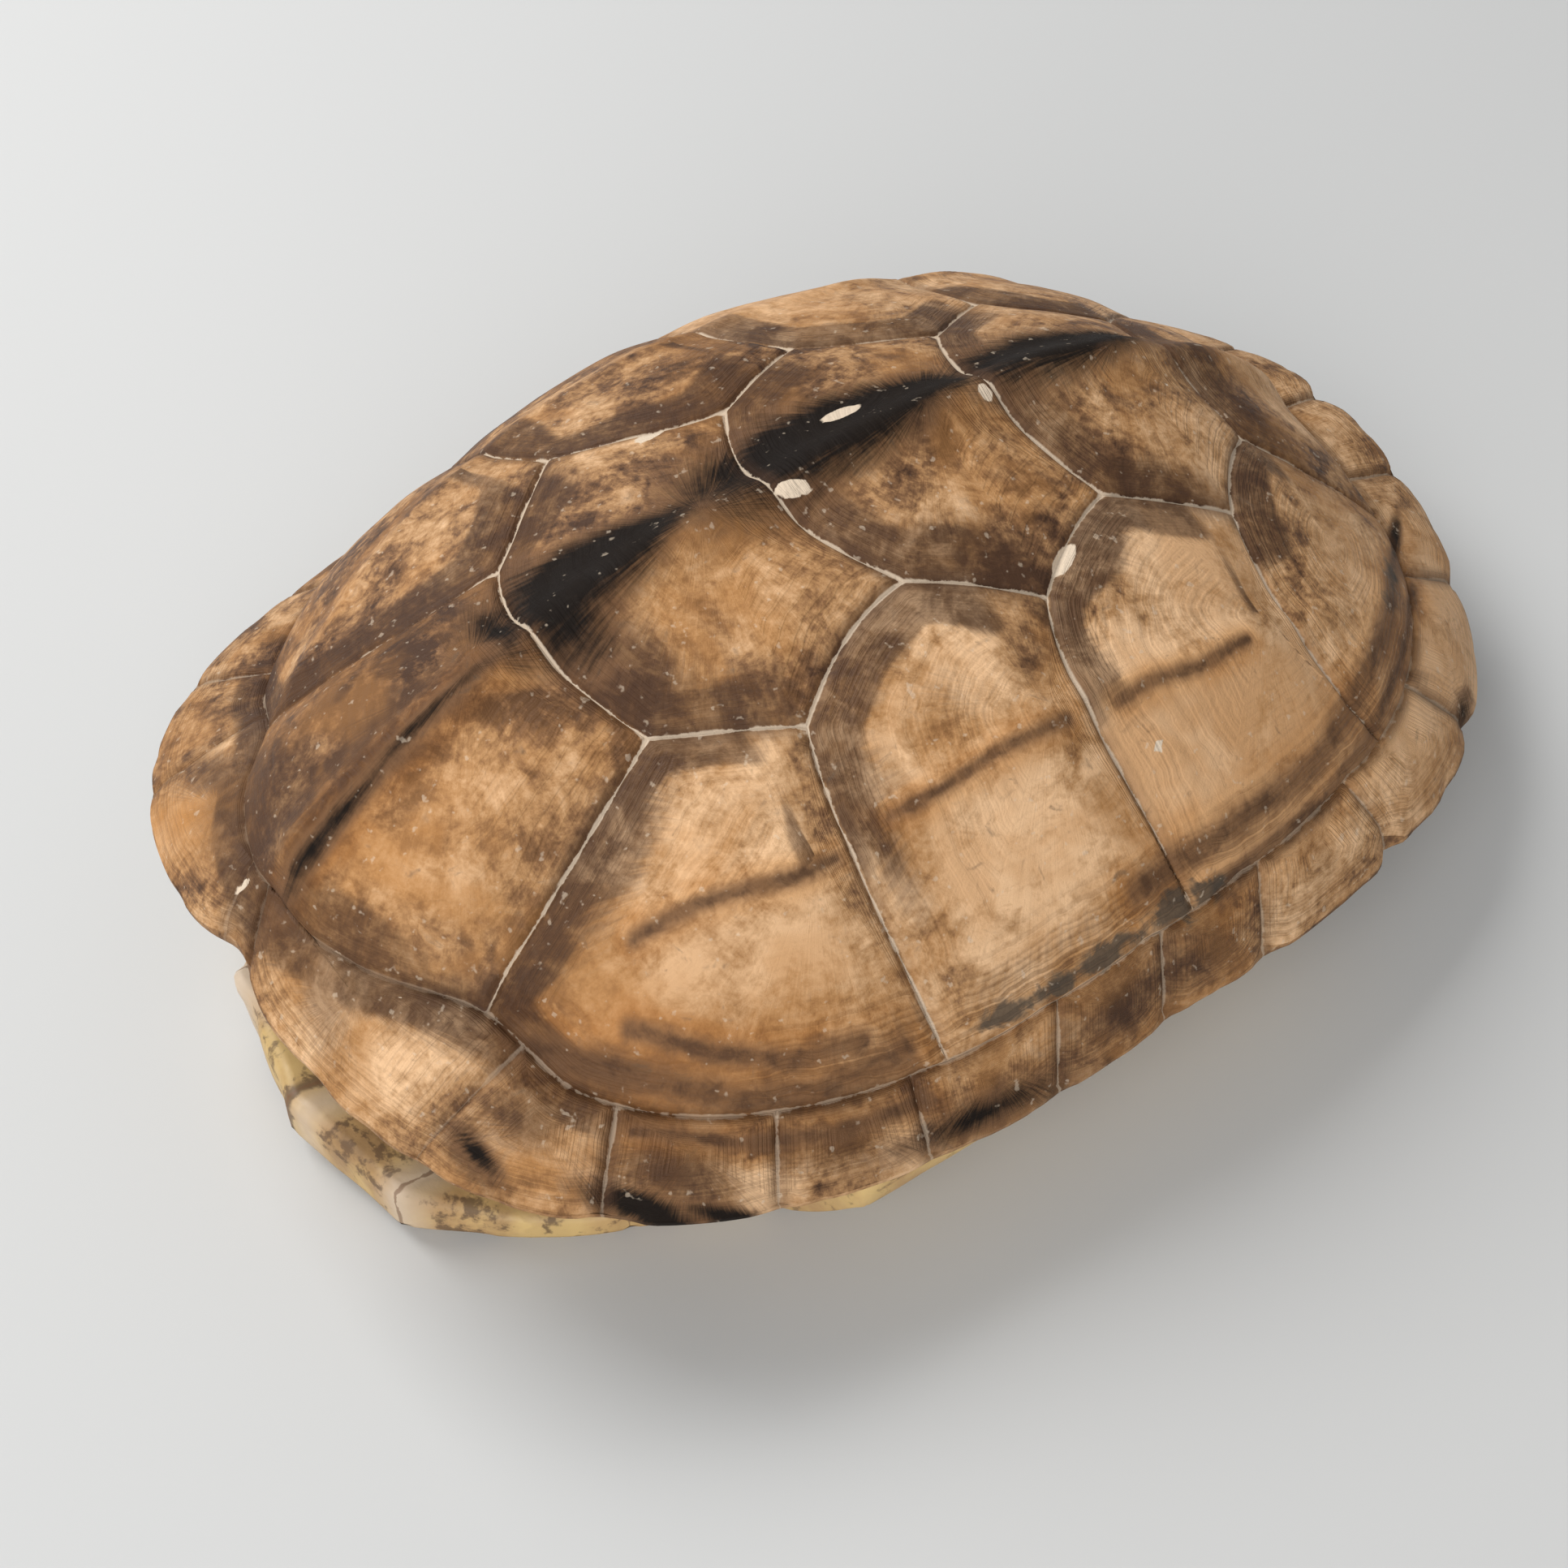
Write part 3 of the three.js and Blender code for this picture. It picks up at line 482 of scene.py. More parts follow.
class ShellForm:
    """The shell's smooth surfaces in millimetres, from the sizes in the panel."""

    def __init__(self, sizes):
        self.half_length = sizes.length / MM / 2
        self.half_width = sizes.width / MM / 2
        self.crown_height = sizes.crown_height / MM
        self.keel_height = sizes.keel_height / MM
        self.side_keel_height = sizes.side_keel_height / MM
        self.seam_depth = sizes.seam_depth / MM
        self.swell = sizes.scute_swell / MM
        self.wall = sizes.wall / MM
        self.plastron_thickness = sizes.plastron_thickness / MM
        self.spacing = sizes.mesh_spacing / MM
        self.sections = {}
        for quantity, values in SECTIONS.items():
            before, after = values[1], values[-2]
            if quantity == "angle":
                before, after = -180 - before, 180 - after
            self.sections[quantity] = np.array((before, *values, after), float)
        self.rim_at_side = float(self.round_shell("rim_height", 0))

    def round_shell(self, quantity, angle):
        """A quantity of the sections at an angle, eased from one section to the next."""
        angles, values = self.sections["angle"], self.sections[quantity]
        i = np.clip(np.searchsorted(angles, angle, side="right") - 1, 1, len(angles) - 3)
        span = angles[i + 1] - angles[i]
        t = (angle - angles[i]) / span
        slope = (values[i + 1] - values[i - 1]) / (angles[i + 1] - angles[i - 1])
        next_slope = (values[i + 2] - values[i]) / (angles[i + 2] - angles[i])
        ease = t * t * (3 - 2 * t)
        value = values[i] * (1 - ease) + values[i + 1] * ease
        return value + span * t * (1 - t) * (slope * (1 - t) - next_slope * t)

    def rim_radius(self, fold):
        """Distance of the rim from the crown in plan."""
        across = np.abs(np.cos(np.radians(fold))) / self.half_width
        reach = np.where(fold < 0, self.half_length + CROWN_Y, self.half_length - CROWN_Y)
        along = np.abs(np.sin(np.radians(fold))) / reach
        return (across**PLAN_SQUARENESS + along**PLAN_SQUARENESS) ** (-1 / PLAN_SQUARENESS)

    def rim_notch(self, fold):
        neck = NECK_NOTCH * bell(fold + 90, NECK_NOTCH_HALF_ANGLE)
        depth = neck + TAIL_NOTCH * bell(fold - 90, NOTCH_HALF_ANGLE)
        for _, rim, notch in MARGINAL_SEAMS:
            depth = depth + notch * bell(fold - rim, NOTCH_HALF_ANGLE)
        return depth

    def plan_point(self, angle, reach):
        fold = folded(angle)
        notch_share = np.maximum(0, (reach - NOTCH_REACH) / (1 - NOTCH_REACH))
        radius = self.rim_radius(fold) * reach - self.rim_notch(fold) * notch_share
        turn = np.radians(angle)
        return radius * np.cos(turn), CROWN_Y + radius * np.sin(turn)

    def groove_point(self, angle):
        return self.plan_point(angle, self.round_shell("groove_reach", folded(angle)))

    def dome(self, x, y):
        """Height of the smooth dome, and its rise from the groove (0) to the crown (1)."""
        fold = folded(angle_of(x, y))
        reach = np.hypot(x, y - CROWN_Y) / self.rim_radius(fold)
        groove = self.round_shell("groove_reach", fold)
        groove_height = self.round_shell("groove_height", fold)
        fullness = self.round_shell("fullness", fold)
        share = np.minimum(reach / groove, 1)
        edge = np.sqrt(1 - DOME_SHOULDER**fullness)
        rise = (np.sqrt(1 - (DOME_SHOULDER * share) ** fullness) - edge) / (1 - edge)
        crown = self.crown_height + CROWN_SLOPE * (y - CROWN_Y)
        inside = groove_height + (crown - groove_height) * rise
        out = (reach - groove) / (1 - groove)
        outside = groove_height + (self.round_shell("rim_height", fold) - groove_height) * out
        return np.where(reach > groove, outside, inside), rise

    def keels(self, x, y, rise):
        side = SIDE_KEEL_X - SIDE_KEEL_CLOSE_IN * np.maximum(0, SIDE_KEEL_BEND_Y - y)
        middle_keel = self.keel_height * bell(x, KEEL_HALF_WIDTH)
        side_keel = self.side_keel_height * bell(np.abs(x) - side, SIDE_KEEL_HALF_WIDTH)
        return (middle_keel + side_keel) * np.minimum(1, KEEL_FADE * rise)

    def off_dome(self, x, y, lift):
        """Points lifted off the smooth dome at right angles to it."""
        ahead, back = x + SLOPE_STEP, x - SLOPE_STEP
        slope_x = (self.dome(ahead, y)[0] - self.dome(back, y)[0]) / (2 * SLOPE_STEP)
        ahead, back = y + SLOPE_STEP, y - SLOPE_STEP
        slope_y = (self.dome(x, ahead)[0] - self.dome(x, back)[0]) / (2 * SLOPE_STEP)
        normal = stacked(-slope_x, -slope_y, 1)
        normal /= np.linalg.norm(normal, axis=-1, keepdims=True)
        return stacked(x, y, self.dome(x, y)[0]) + normal * np.reshape(lift, (-1, 1))

    def on_carapace(self, x, y, lift=0.0):
        points = self.off_dome(x, y, lift + np.zeros_like(x))
        points[:, 2] += self.keels(x, y, self.dome(x, y)[1])
        return points

    def under_rim(self, angle, inward):
        """Underside of the rim, some distance in from the rim."""
        fold = folded(angle)
        x, y = self.plan_point(angle, 1 - inward / self.rim_radius(fold))
        height = self.round_shell("rim_height", fold) - RIM_EDGE + LIP_RISE * inward / LIP_WIDTH
        return stacked(x, y, height)

    def plastron_height(self, x, y):
        """Outer face of the plastron: flat in the middle, curving up to the bridge at the sides."""
        bridge_end = self.half_width - RIM_EDGE
        out = np.maximum(0, (np.abs(x) - BRIDGE_START_X) / (bridge_end - BRIDGE_START_X))
        rear = np.maximum(0, (y - REAR_START) / (REAR_TIP - REAR_START))
        rise = (self.rim_at_side - 2 * RIM_EDGE) * out**2
        return rise + FRONT_UPTURN * front_share(y) ** 2 + REAR_UPTURN * rear**2

    def on_plastron(self, x, y, lift=0.0):
        return stacked(x, y, self.plastron_height(x, y) - lift)

    def plastron_inside(self, x, y):
        """Inner face of the plastron, which thickens towards the bridge."""
        bridge_end = self.half_width - LIP_WIDTH
        out = np.maximum(0, (np.abs(x) - BRIDGE_INSIDE_X) / (bridge_end - BRIDGE_INSIDE_X))
        rise = self.rim_at_side - RIM_EDGE - self.plastron_thickness
        flat = self.plastron_height(np.minimum(np.abs(x), BRIDGE_START_X), y)
        bridge = rise * out**BRIDGE_THICKENING
        return flat + self.plastron_thickness + bridge + FRONT_LIP * front_share(y) ** 2


# ---- Net of scutes, drawn flat in plan and then raised ----


class ScuteNet:
    """Scutes laid edge to edge: polygons between named corners, filled ring by ring."""

    def __init__(self, form, bends, ring_points, front_lean=0.0):
        self.form = form
        self.front_lean = front_lean
        self.bends = bends
        self.ring_points = ring_points
        self.bm = bmesh.new()
        self.scute = self.bm.faces.layers.int.new("scute")
        self.share = self.bm.verts.layers.float.new("share")
        self.step = self.bm.verts.layers.int.new("step")
        self.seat = self.bm.verts.layers.int.new("seat")
        self.corners = {}
        self.angles = {}
        self.scutes = []
        self.tones = []
        self.seams = []
        self.outline = []

    def lean(self, x, y):
        return x + self.front_lean * float(front_share(y)), y

    def corner(self, name, x, y):
        vertex = self.bm.verts.new((*self.lean(x, y), 0))
        vertex[self.share] = 1
        self.corners[name] = vertex

    def corner_on_ring(self, name, ring, angle):
        x, y = self.ring_points[ring](angle)
        self.corner(name, float(x), float(y))
        self.angles[name] = (ring, angle)

    def between(self, ring, first, last):
        """Names of the corners on a ring from one to another, turning left round the shell."""
        start = self.angles[first][1]
        on_ring = {name: angle for name, (on, angle) in self.angles.items() if on == ring}
        turned = {name: (angle - start) % 360 for name, angle in on_ring.items()}
        return sorted((name for name in turned if turned[name] <= turned[last]), key=turned.get)

    def add_scute(self, names, centre, rings, tone=0):
        face = self.bm.faces.new([self.corners[name] for name in names])
        face[self.scute] = len(self.scutes)
        self.tones.append(tone)
        self.scutes.append((list(names), Vector((*self.lean(*centre), 0)), rings))

    def ring_of(self, first, second):
        """The ring that a seam runs along, if both its ends lie on the same one."""
        rings = {self.angles.get(name, (None,))[0] for name in (first, second)}
        return rings.pop() if len(rings) == 1 else None

    def bend_of(self, first, second):
        plain = (first.rstrip("LR"), second.rstrip("LR"))
        if (first, second) in self.bends:
            x, y = self.bends[first, second]
        elif plain in self.bends:
            x, y = self.bends[plain]
            x = -x if "R" in (first[-1], second[-1]) else x
        else:
            return None
        return Vector((*self.lean(x, y), 0))

    def point_on_seam(self, first, second, t):
        ring = self.ring_of(first, second)
        if ring:
            start, end = self.angles[first][1], self.angles[second][1]
            turn = (end - start + 180) % 360 - 180
            x, y = self.ring_points[ring](start + turn * t)
            return Vector((float(x), float(y), 0))
        a, b = self.corners[first].co, self.corners[second].co
        bend = self.bend_of(first, second)
        if bend is None:
            return a.lerp(b, t)
        control = 2 * bend - (a + b) / 2
        return (1 - t) ** 2 * a + 2 * t * (1 - t) * control + t**2 * b

    def divide_seams(self):
        """Cuts every seam into short pieces and bends it along its route."""
        rounds = [zip(names, names[1:] + names[:1]) for names, _, _ in self.scutes]
        pairs = sorted({tuple(sorted(pair)) for scute in rounds for pair in scute})
        ends = [[self.corners[name] for name in pair] for pair in pairs]
        edges = [self.bm.edges.get(pair) for pair in ends]
        for (first, second), (start, end), edge in zip(pairs, ends, edges):
            on_outline = edge.is_boundary
            cuts = max(1, round(edge.calc_length() / self.form.spacing))
            points = []
            for i in range(1, cuts + 1):
                before = points[-1] if points else start
                _, vertex = bmesh.utils.edge_split(edge, before, 1 / (cuts + 2 - i))
                vertex.co = self.point_on_seam(first, second, i / (cuts + 1))
                vertex[self.share] = 1
                points.append(vertex)
            line = [start, *points, end]
            if self.ring_of(first, second) == "bridge":
                for vertex in line:
                    vertex[self.seat] = 1
            lines = self.outline if on_outline else self.seams
            lines.append([vertex.co.copy() for vertex in line])

    def fill_scutes(self):
        """Draws each scute inward towards its growth centre, ring after ring, and closes it."""
        growing = self.bm.faces[:]
        finished = []
        level = 0
        while growing:
            level += 1
            finished += [face for face in growing if level > self.scutes[face[self.scute]][2]]
            growing = [face for face in growing if level <= self.scutes[face[self.scute]][2]]
            if growing:
                growing = bmesh.ops.extrude_discrete_faces(self.bm, faces=growing)["faces"]
            for face in growing:
                _, centre, rings = self.scutes[face[self.scute]]
                share, before = (1 - (n / (rings + 1)) ** RING_CROWDING for n in (level, level - 1))
                ratio = [share / before] * 3
                around = Matrix.Translation(-centre)
                bmesh.ops.scale(self.bm, vec=ratio, space=around, verts=face.verts[:])
                for vertex in face.verts:
                    vertex[self.share] = share
        for vertex in bmesh.ops.poke(self.bm, faces=finished)["verts"]:
            vertex.co = self.scutes[vertex.link_faces[0][self.scute]][1]
            vertex[self.share] = 0

    def refine(self, creases):
        """Splits the edges near the creases, so that they come out fine."""
        x, y, _, _ = self.arrays()
        near = distance_to_creases(creases, x, y) < CREASE_REACH
        close = {vertex for vertex, is_near in zip(self.bm.verts, near) if is_near}
        inner = [edge for edge in self.bm.edges if not edge.is_boundary]
        edges = [edge for edge in inner if close.issuperset(edge.verts)]
        bmesh.ops.subdivide_edges(self.bm, edges=edges, cuts=CREASE_CUTS, use_grid_fill=True)

    def draw_out_edge(self, steps):
        """Draws the outline out again and again, and closes the last loop with a fan."""
        edges = [edge for edge in self.bm.edges if edge.is_boundary]
        for step in range(1, steps):
            made = bmesh.ops.extrude_edge_only(self.bm, edges=edges)["geom"]
            edges = []
            for item in made:
                if isinstance(item, bmesh.types.BMVert):
                    item[self.step] = step
                elif isinstance(item, bmesh.types.BMFace):
                    item[self.scute] = -1
                elif item.is_boundary:
                    edges.append(item)
        lid = bmesh.ops.edgeloop_fill(self.bm, edges=edges)["faces"]
        fan = bmesh.ops.poke(self.bm, faces=lid)
        for face in fan["faces"]:
            face[self.scute] = -1
        for vertex in fan["verts"]:
            vertex[self.step] = steps

    def arrays(self):
        """Plan position, outline step and seat of every vertex."""
        plan = np.array([vertex.co.xy[:] for vertex in self.bm.verts])
        marks = np.array([(vertex[self.step], vertex[self.seat]) for vertex in self.bm.verts])
        return plan[:, 0], plan[:, 1], marks[:, 0], marks[:, 1] > 0

    def distance_to(self, lines, raised, surface):
        """Distance in mm from each raised point to the nearest of some lines of the net."""
        parts = (0, 0.25, 0.5, 0.75, 1)
        pairs = [pair for line in lines for pair in zip(line, line[1:])]
        plan = np.array([a.lerp(b, t).xy[:] for a, b in pairs for t in parts])
        targets = surface(plan[:, 0], plan[:, 1])
        tree = kdtree.KDTree(len(targets))
        for i, point in enumerate(targets):
            tree.insert(point, i)
        tree.balance()
        return np.array([tree.find(point)[2] for point in raised])

    def finish(self, name, points, paint, slots, slot_of):
        """Moves the vertices to their places and makes the object, in metres at the origin."""
        for vertex, point in zip(self.bm.verts, points):
            vertex.co = Vector(point) * MM
        for face in self.bm.faces:
            face.smooth = True
            face.material_index = slot_of(face)
        bmesh.ops.recalc_face_normals(self.bm, faces=self.bm.faces[:])
        mesh = bpy.data.meshes.new(name)
        self.bm.to_mesh(mesh)
        self.bm.free()
        for material in slots:
            mesh.materials.append(material)
        for attribute, values in paint.items():
            layer = mesh.attributes.new(attribute, "FLOAT", "POINT")
            layer.data.foreach_set("value", np.asarray(values, np.float32))
        self.paint_growth(mesh)
        return add_object(name, mesh)

    def paint_growth(self, mesh):
        """Paints each corner's direction from the growth centre, ring share and scute's tone."""
        scute = np.empty(len(mesh.polygons), np.int32)
        mesh.attributes["scute"].data.foreach_get("value", scute)
        share = np.empty(len(mesh.vertices), np.float32)
        mesh.attributes["share"].data.foreach_get("value", share)
        total = np.empty(len(mesh.polygons), np.int32)
        mesh.polygons.foreach_get("loop_total", total)
        vertex = np.empty(len(mesh.loops), np.int32)
        mesh.loops.foreach_get("vertex_index", vertex)
        place = np.empty(3 * len(mesh.vertices), np.float32)
        mesh.vertices.foreach_get("co", place)
        number = np.repeat(scute, total)
        centres = np.array([centre.xy[:] for _, centre, _ in self.scutes] + [(0, 0)])
        away = place.reshape(-1, 3)[vertex, :2] / MM - centres[number]
        away /= np.maximum(np.linalg.norm(away, axis=1, keepdims=True), 1e-6)
        growth = np.column_stack([away, share[vertex]]).astype(np.float32)
        layer = mesh.attributes.new("growth", "FLOAT_VECTOR", "CORNER")
        layer.data.foreach_set("vector", growth.ravel())
        tones = np.array([*self.tones, 0], np.float32)
        layer = mesh.attributes.new("tone", "FLOAT", "CORNER")
        layer.data.foreach_set("value", tones[number])


def soft_patches(patches, x, y):
    """Strength of the strongest patch at each point, falling off from the middle of a patch."""
    mask = np.zeros_like(x)
    for patch_x, patch_y, half_length, half_width, turn, strength, *taper in patches:
        cos, sin = math.cos(math.radians(turn)), math.sin(math.radians(turn))
        along = ((x - patch_x) * cos + (y - patch_y) * sin) / half_length
        width = half_width * np.clip(1 + sum(taper) * along, *TAPER_LIMITS)
        across = ((y - patch_y) * cos - (x - patch_x) * sin) / width
        mask = np.maximum(mask, strength * np.maximum(0, 1 - np.hypot(along, across) / 2))
    return mask


def distance_to_creases(creases, x, y):
    """Distance in plan from each point to the nearest crease, in widths of that crease."""
    nearest = np.full_like(x, np.inf)
    for width, crease in creases:
        for (ax, ay), (bx, by) in zip(crease, crease[1:]):
            run_x, run_y = bx - ax, by - ay
            t = np.clip(((x - ax) * run_x + (y - ay) * run_y) / (run_x**2 + run_y**2), 0, 1)
            distance = np.hypot(x - ax - t * run_x, y - ay - t * run_y)
            nearest = np.minimum(nearest, distance / width)
    return nearest


def ramp(value, low, high):
    t = np.clip((value - low) / (high - low), 0, 1)
    return t * t * (3 - 2 * t)


def waves(x, y, height, wavelength, seed):
    """Uneven waves over the plan, up to a height on either side of 0."""
    places = [Vector((a / wavelength, b / wavelength, seed)) for a, b in zip(x, y)]
    return height * np.array([noise.noise(place) for place in places])


# ---- Carapace ----

# Each loop of the rim and the underside: how far it lies in from the rim, and its height from the
# top of the rim's edge (0) to the underside (1).
RIM_LOOPS = ((0.0, 0.35), (0.0, 0.7), (0.35, 0.95), (1.0, 1.0), (2.6, 1.0), (LIP_WIDTH, 1.0))
OUTER_RIM_LOOPS = 4
# Loops of the inner hollow, as a share of the way from the crown to the rim.
HOLLOW_LOOPS = (0.87, 0.83, 0.78, 0.71, 0.63, 0.54, 0.45, 0.36, 0.27, 0.18, 0.09)
# Relief, in mm: how far in from a seam or the rim each form reaches, and how deep it is.
SWELL_REACH = 3.5
RIM_REACH = 4.0
SEAM_HALF_WIDTH = 0.3
CREASE_DEPTH = 0.1
CREASE_HALF_SHARE = 0.5
RIM_ROUND = 0.45
RIM_ROUND_REACH = 0.7
# Waves of the surface: height and wavelength in mm, and a seed.
SLOW_WAVES = (0.14, 9, 1.5)
QUICK_WAVES = (0.06, 3, 3.5)
WAVES_REACH = 3.0
# How far the rim's edge is worn in everywhere, and unevenly on top of that.
FRAY = 0.06
FRAY_WAVES = ((0.4, 2.6, 4.5), (0.3, 7, 5.5))
FRAY_REACH = 1.4
# Dark bands inside the borders that face the head end: width, its sway, and half their soft edge.
BAND_WIDTH = 4.3
BAND_SWAY = (2.2, 7, 2.5)
BAND_EDGE = 0.9
BAND_STRENGTH = 0.95
# Fainter band above the groove: its strength, its distance from the groove and its half width.
LOW_BAND = (0.45, 2.8, 1.4)
# The front marginals are dark up to this far out from the groove, in front of this y.
FRONT_BAND = (3.8, 2.2)
FRONT_BAND_Y = (-43, -48)
# Strength of the growth lines: everywhere, on the marginals, along front borders.
FAINT_LINES, MARGINAL_LINES, FRONT_LINES = 0.08, 0.6, 0.5
# Above the groove the growth lines are strong up to this far in.
LOW_LINES = (8, 4)
# The pale line in the seams: strength everywhere, added behind the head end, added up the dome.
SEAM_PALE = (0.15, 0.3, 0.55)
SEAM_PALE_Y = (-56, -46)
SEAM_PALE_RISE = (0.01, 0.06)


def draw_carapace_net(form):
    rings = {
        "groove": form.groove_point,
        "rim": lambda angle: form.plan_point(angle, 1),
    }
    net = ScuteNet(form, CARAPACE_BENDS, rings)
    for name, places in VERTEBRAL_CORNERS.items():
        for side, (x, y) in zip("LR", places):
            net.corner(name + side, x, y)
    for side in "LR":
        for name, angle in GROOVE_ENDS.items():
            net.corner_on_ring(name + side, "groove", angle if side == "L" else 180 - angle)
        for i, (*angles, _) in enumerate(MARGINAL_SEAMS, 1):
            groove, rim = angles if side == "L" else [180 - angle for angle in angles]
            net.corner_on_ring(f"marginal{i}{side}", "groove", groove)
            net.corner_on_ring(f"rim{i}{side}", "rim", rim)
    for name, angle in {**CERVICAL_SEAMS, "marginal12": 90, "rim12": 90}.items():
        net.corner_on_ring(name, "groove" if name.startswith("marginal") else "rim", angle)
    add_vertebrals(net)
    add_costals(net)
    add_marginals(net)
    return net


def add_vertebrals(net):
    front = net.between("groove", "v1c1R", "v1c1L")
    centres = [(0, y) for y in VERTEBRAL_CENTRES]
    net.add_scute([*front, "v1v2L", "v1v2R"], centres[0], BIG_SCUTE_RINGS, VERTEBRAL_TONES[0])
    seams = ("v1v2", "v2v3", "v3v4", "v4v5")
    for i, row in enumerate(("v2", "v3", "v4"), 1):
        left = [f"{name}L" for name in (seams[i - 1], f"{row}side", seams[i])]
        right = [f"{name}R" for name in (seams[i], f"{row}side", seams[i - 1])]
        net.add_scute([*left, *right], centres[i], BIG_SCUTE_RINGS, VERTEBRAL_TONES[i])
    rear = net.between("groove", "v5c4L", "v5c4R")
    net.add_scute(["v4v5R", "v4v5L", *rear], centres[-1], BIG_SCUTE_RINGS, VERTEBRAL_TONES[-1])


def add_costals(net):
    for (inner, (first, last)), (x, y), tones in zip(COSTAL_CORNERS, COSTAL_CENTRES, COSTAL_TONES_AND_SHADE):
        left = net.between("groove", first + "L", last + "L")
        right = net.between("groove", last + "R", first + "R")[::-1]
        net.add_scute([f"{name}L" for name in inner] + left, (x, y), BIG_SCUTE_RINGS, tones[0])
        net.add_scute([f"{name}R" for name in inner] + right, (-x, y), BIG_SCUTE_RINGS, tones[1])


def add_marginals(net):
    rim = net.between("rim", "rim0L", "rim0R")
    tones = (*MARGINAL_TONES_AND_LIGHT, *MARGINAL_TONES_AND_LIGHT[::-1], 0)
    for name, following, tone in zip(rim, rim[1:] + rim[:1], tones):
        ends = [corner.replace("rim", "marginal") for corner in (name, following)]
        groove = net.between("groove", *ends)[::-1]
        around = [net.corners[corner].co.xy for corner in (name, following, groove[0], groove[-1])]
        centre = sum(around, Vector((0, 0))) / len(around)
        net.add_scute([name, following, *groove], centre, SMALL_SCUTE_RINGS, tone)


def carapace_edge_points(form, x, y, step):
    """Where the vertices of one loop of the rim, its underside or the hollow go."""
    angle = angle_of(x, y)
    if step <= len(RIM_LOOPS):
        inward, drop = RIM_LOOPS[step - 1]
        points = form.under_rim(angle, np.full_like(x, inward))
        points[:, 2] += RIM_EDGE * (1 - drop)
        return points
    if step <= len(RIM_LOOPS) + len(HOLLOW_LOOPS):
        reach = HOLLOW_LOOPS[step - len(RIM_LOOPS) - 1]
        hollow_x, hollow_y = form.plan_point(angle, reach)
        return form.off_dome(hollow_x, hollow_y, np.full_like(x, -form.wall))
    return stacked(np.zeros_like(x), np.full_like(x, CROWN_Y), form.crown_height - form.wall)


def border_shade(net, x, y, seam, rim, top):
    """Darkness of the borders, strength of their growth lines, and how far the lines lie in."""
    bands = np.zeros_like(x)
    lines = np.full_like(x, FAINT_LINES)
    border = seam.copy()
    fold = folded(angle_of(x, y))
    groove = net.form.rim_radius(fold) * net.form.round_shell("groove_reach", fold)
    inside = groove - np.hypot(x, y - CROWN_Y)
    first_marginal = len(VERTEBRAL_CENTRES) + 2 * len(COSTAL_CENTRES)
    width = BAND_WIDTH + waves(x, y, *BAND_SWAY)
    low_strength, low_middle, low_half_width = LOW_BAND
    for i, vertex in enumerate(net.bm.verts):
        if not top[i]:
            continue
        faces = [face[net.scute] for face in vertex.link_faces]
        number = min((scute for scute in faces if scute >= 0), default=0)
        away = vertex.co.xy - net.scutes[number][1].xy
        if away.length:
            away.normalize()
        outward = away.x if x[i] > 0 else -away.x
        low = 0
        if number >= first_marginal:
            front = 0
            bands[i] = BAND_STRENGTH * ramp(-inside[i], *FRONT_BAND) * ramp(y[i], *FRONT_BAND_Y)
            lines[i] = MARGINAL_LINES
            border[i] = rim[i]
        elif number == 0:
            front = 0.7 * ramp(-away.y, 0.5, 0.9)
        elif number < len(VERTEBRAL_CENTRES):
            front = ramp(-away.y, 0.05, 0.45)
        else:
            front = ramp(-away.y - outward, 0.7, 1.05)
            low = ramp(outward, 0.35, 0.65)
            border[i] = inside[i] if low > front else seam[i]
        along_front = ramp(seam[i], width[i] + BAND_EDGE, width[i] - BAND_EDGE)
        along_front *= BAND_STRENGTH * front
        above_groove = low_strength * low * bell(inside[i] - low_middle, low_half_width)
        bands[i] = max(bands[i], along_front, above_groove)
        lines[i] = max(lines[i], FRONT_LINES * front, low * ramp(inside[i], *LOW_LINES))
    return bands, lines, border


def frayed(points, x, y, rim, near):
    """Draws the edge of the rim in a little, unevenly, as worn horn is."""
    inward = FRAY
    for kind in FRAY_WAVES:
        inward = inward + np.maximum(0, waves(x, y, *kind))
    inward = np.where(near, inward * bell(rim, FRAY_REACH), 0)
    points[:, :2] *= (1 - inward / np.maximum(np.hypot(x, y), 1))[:, None]


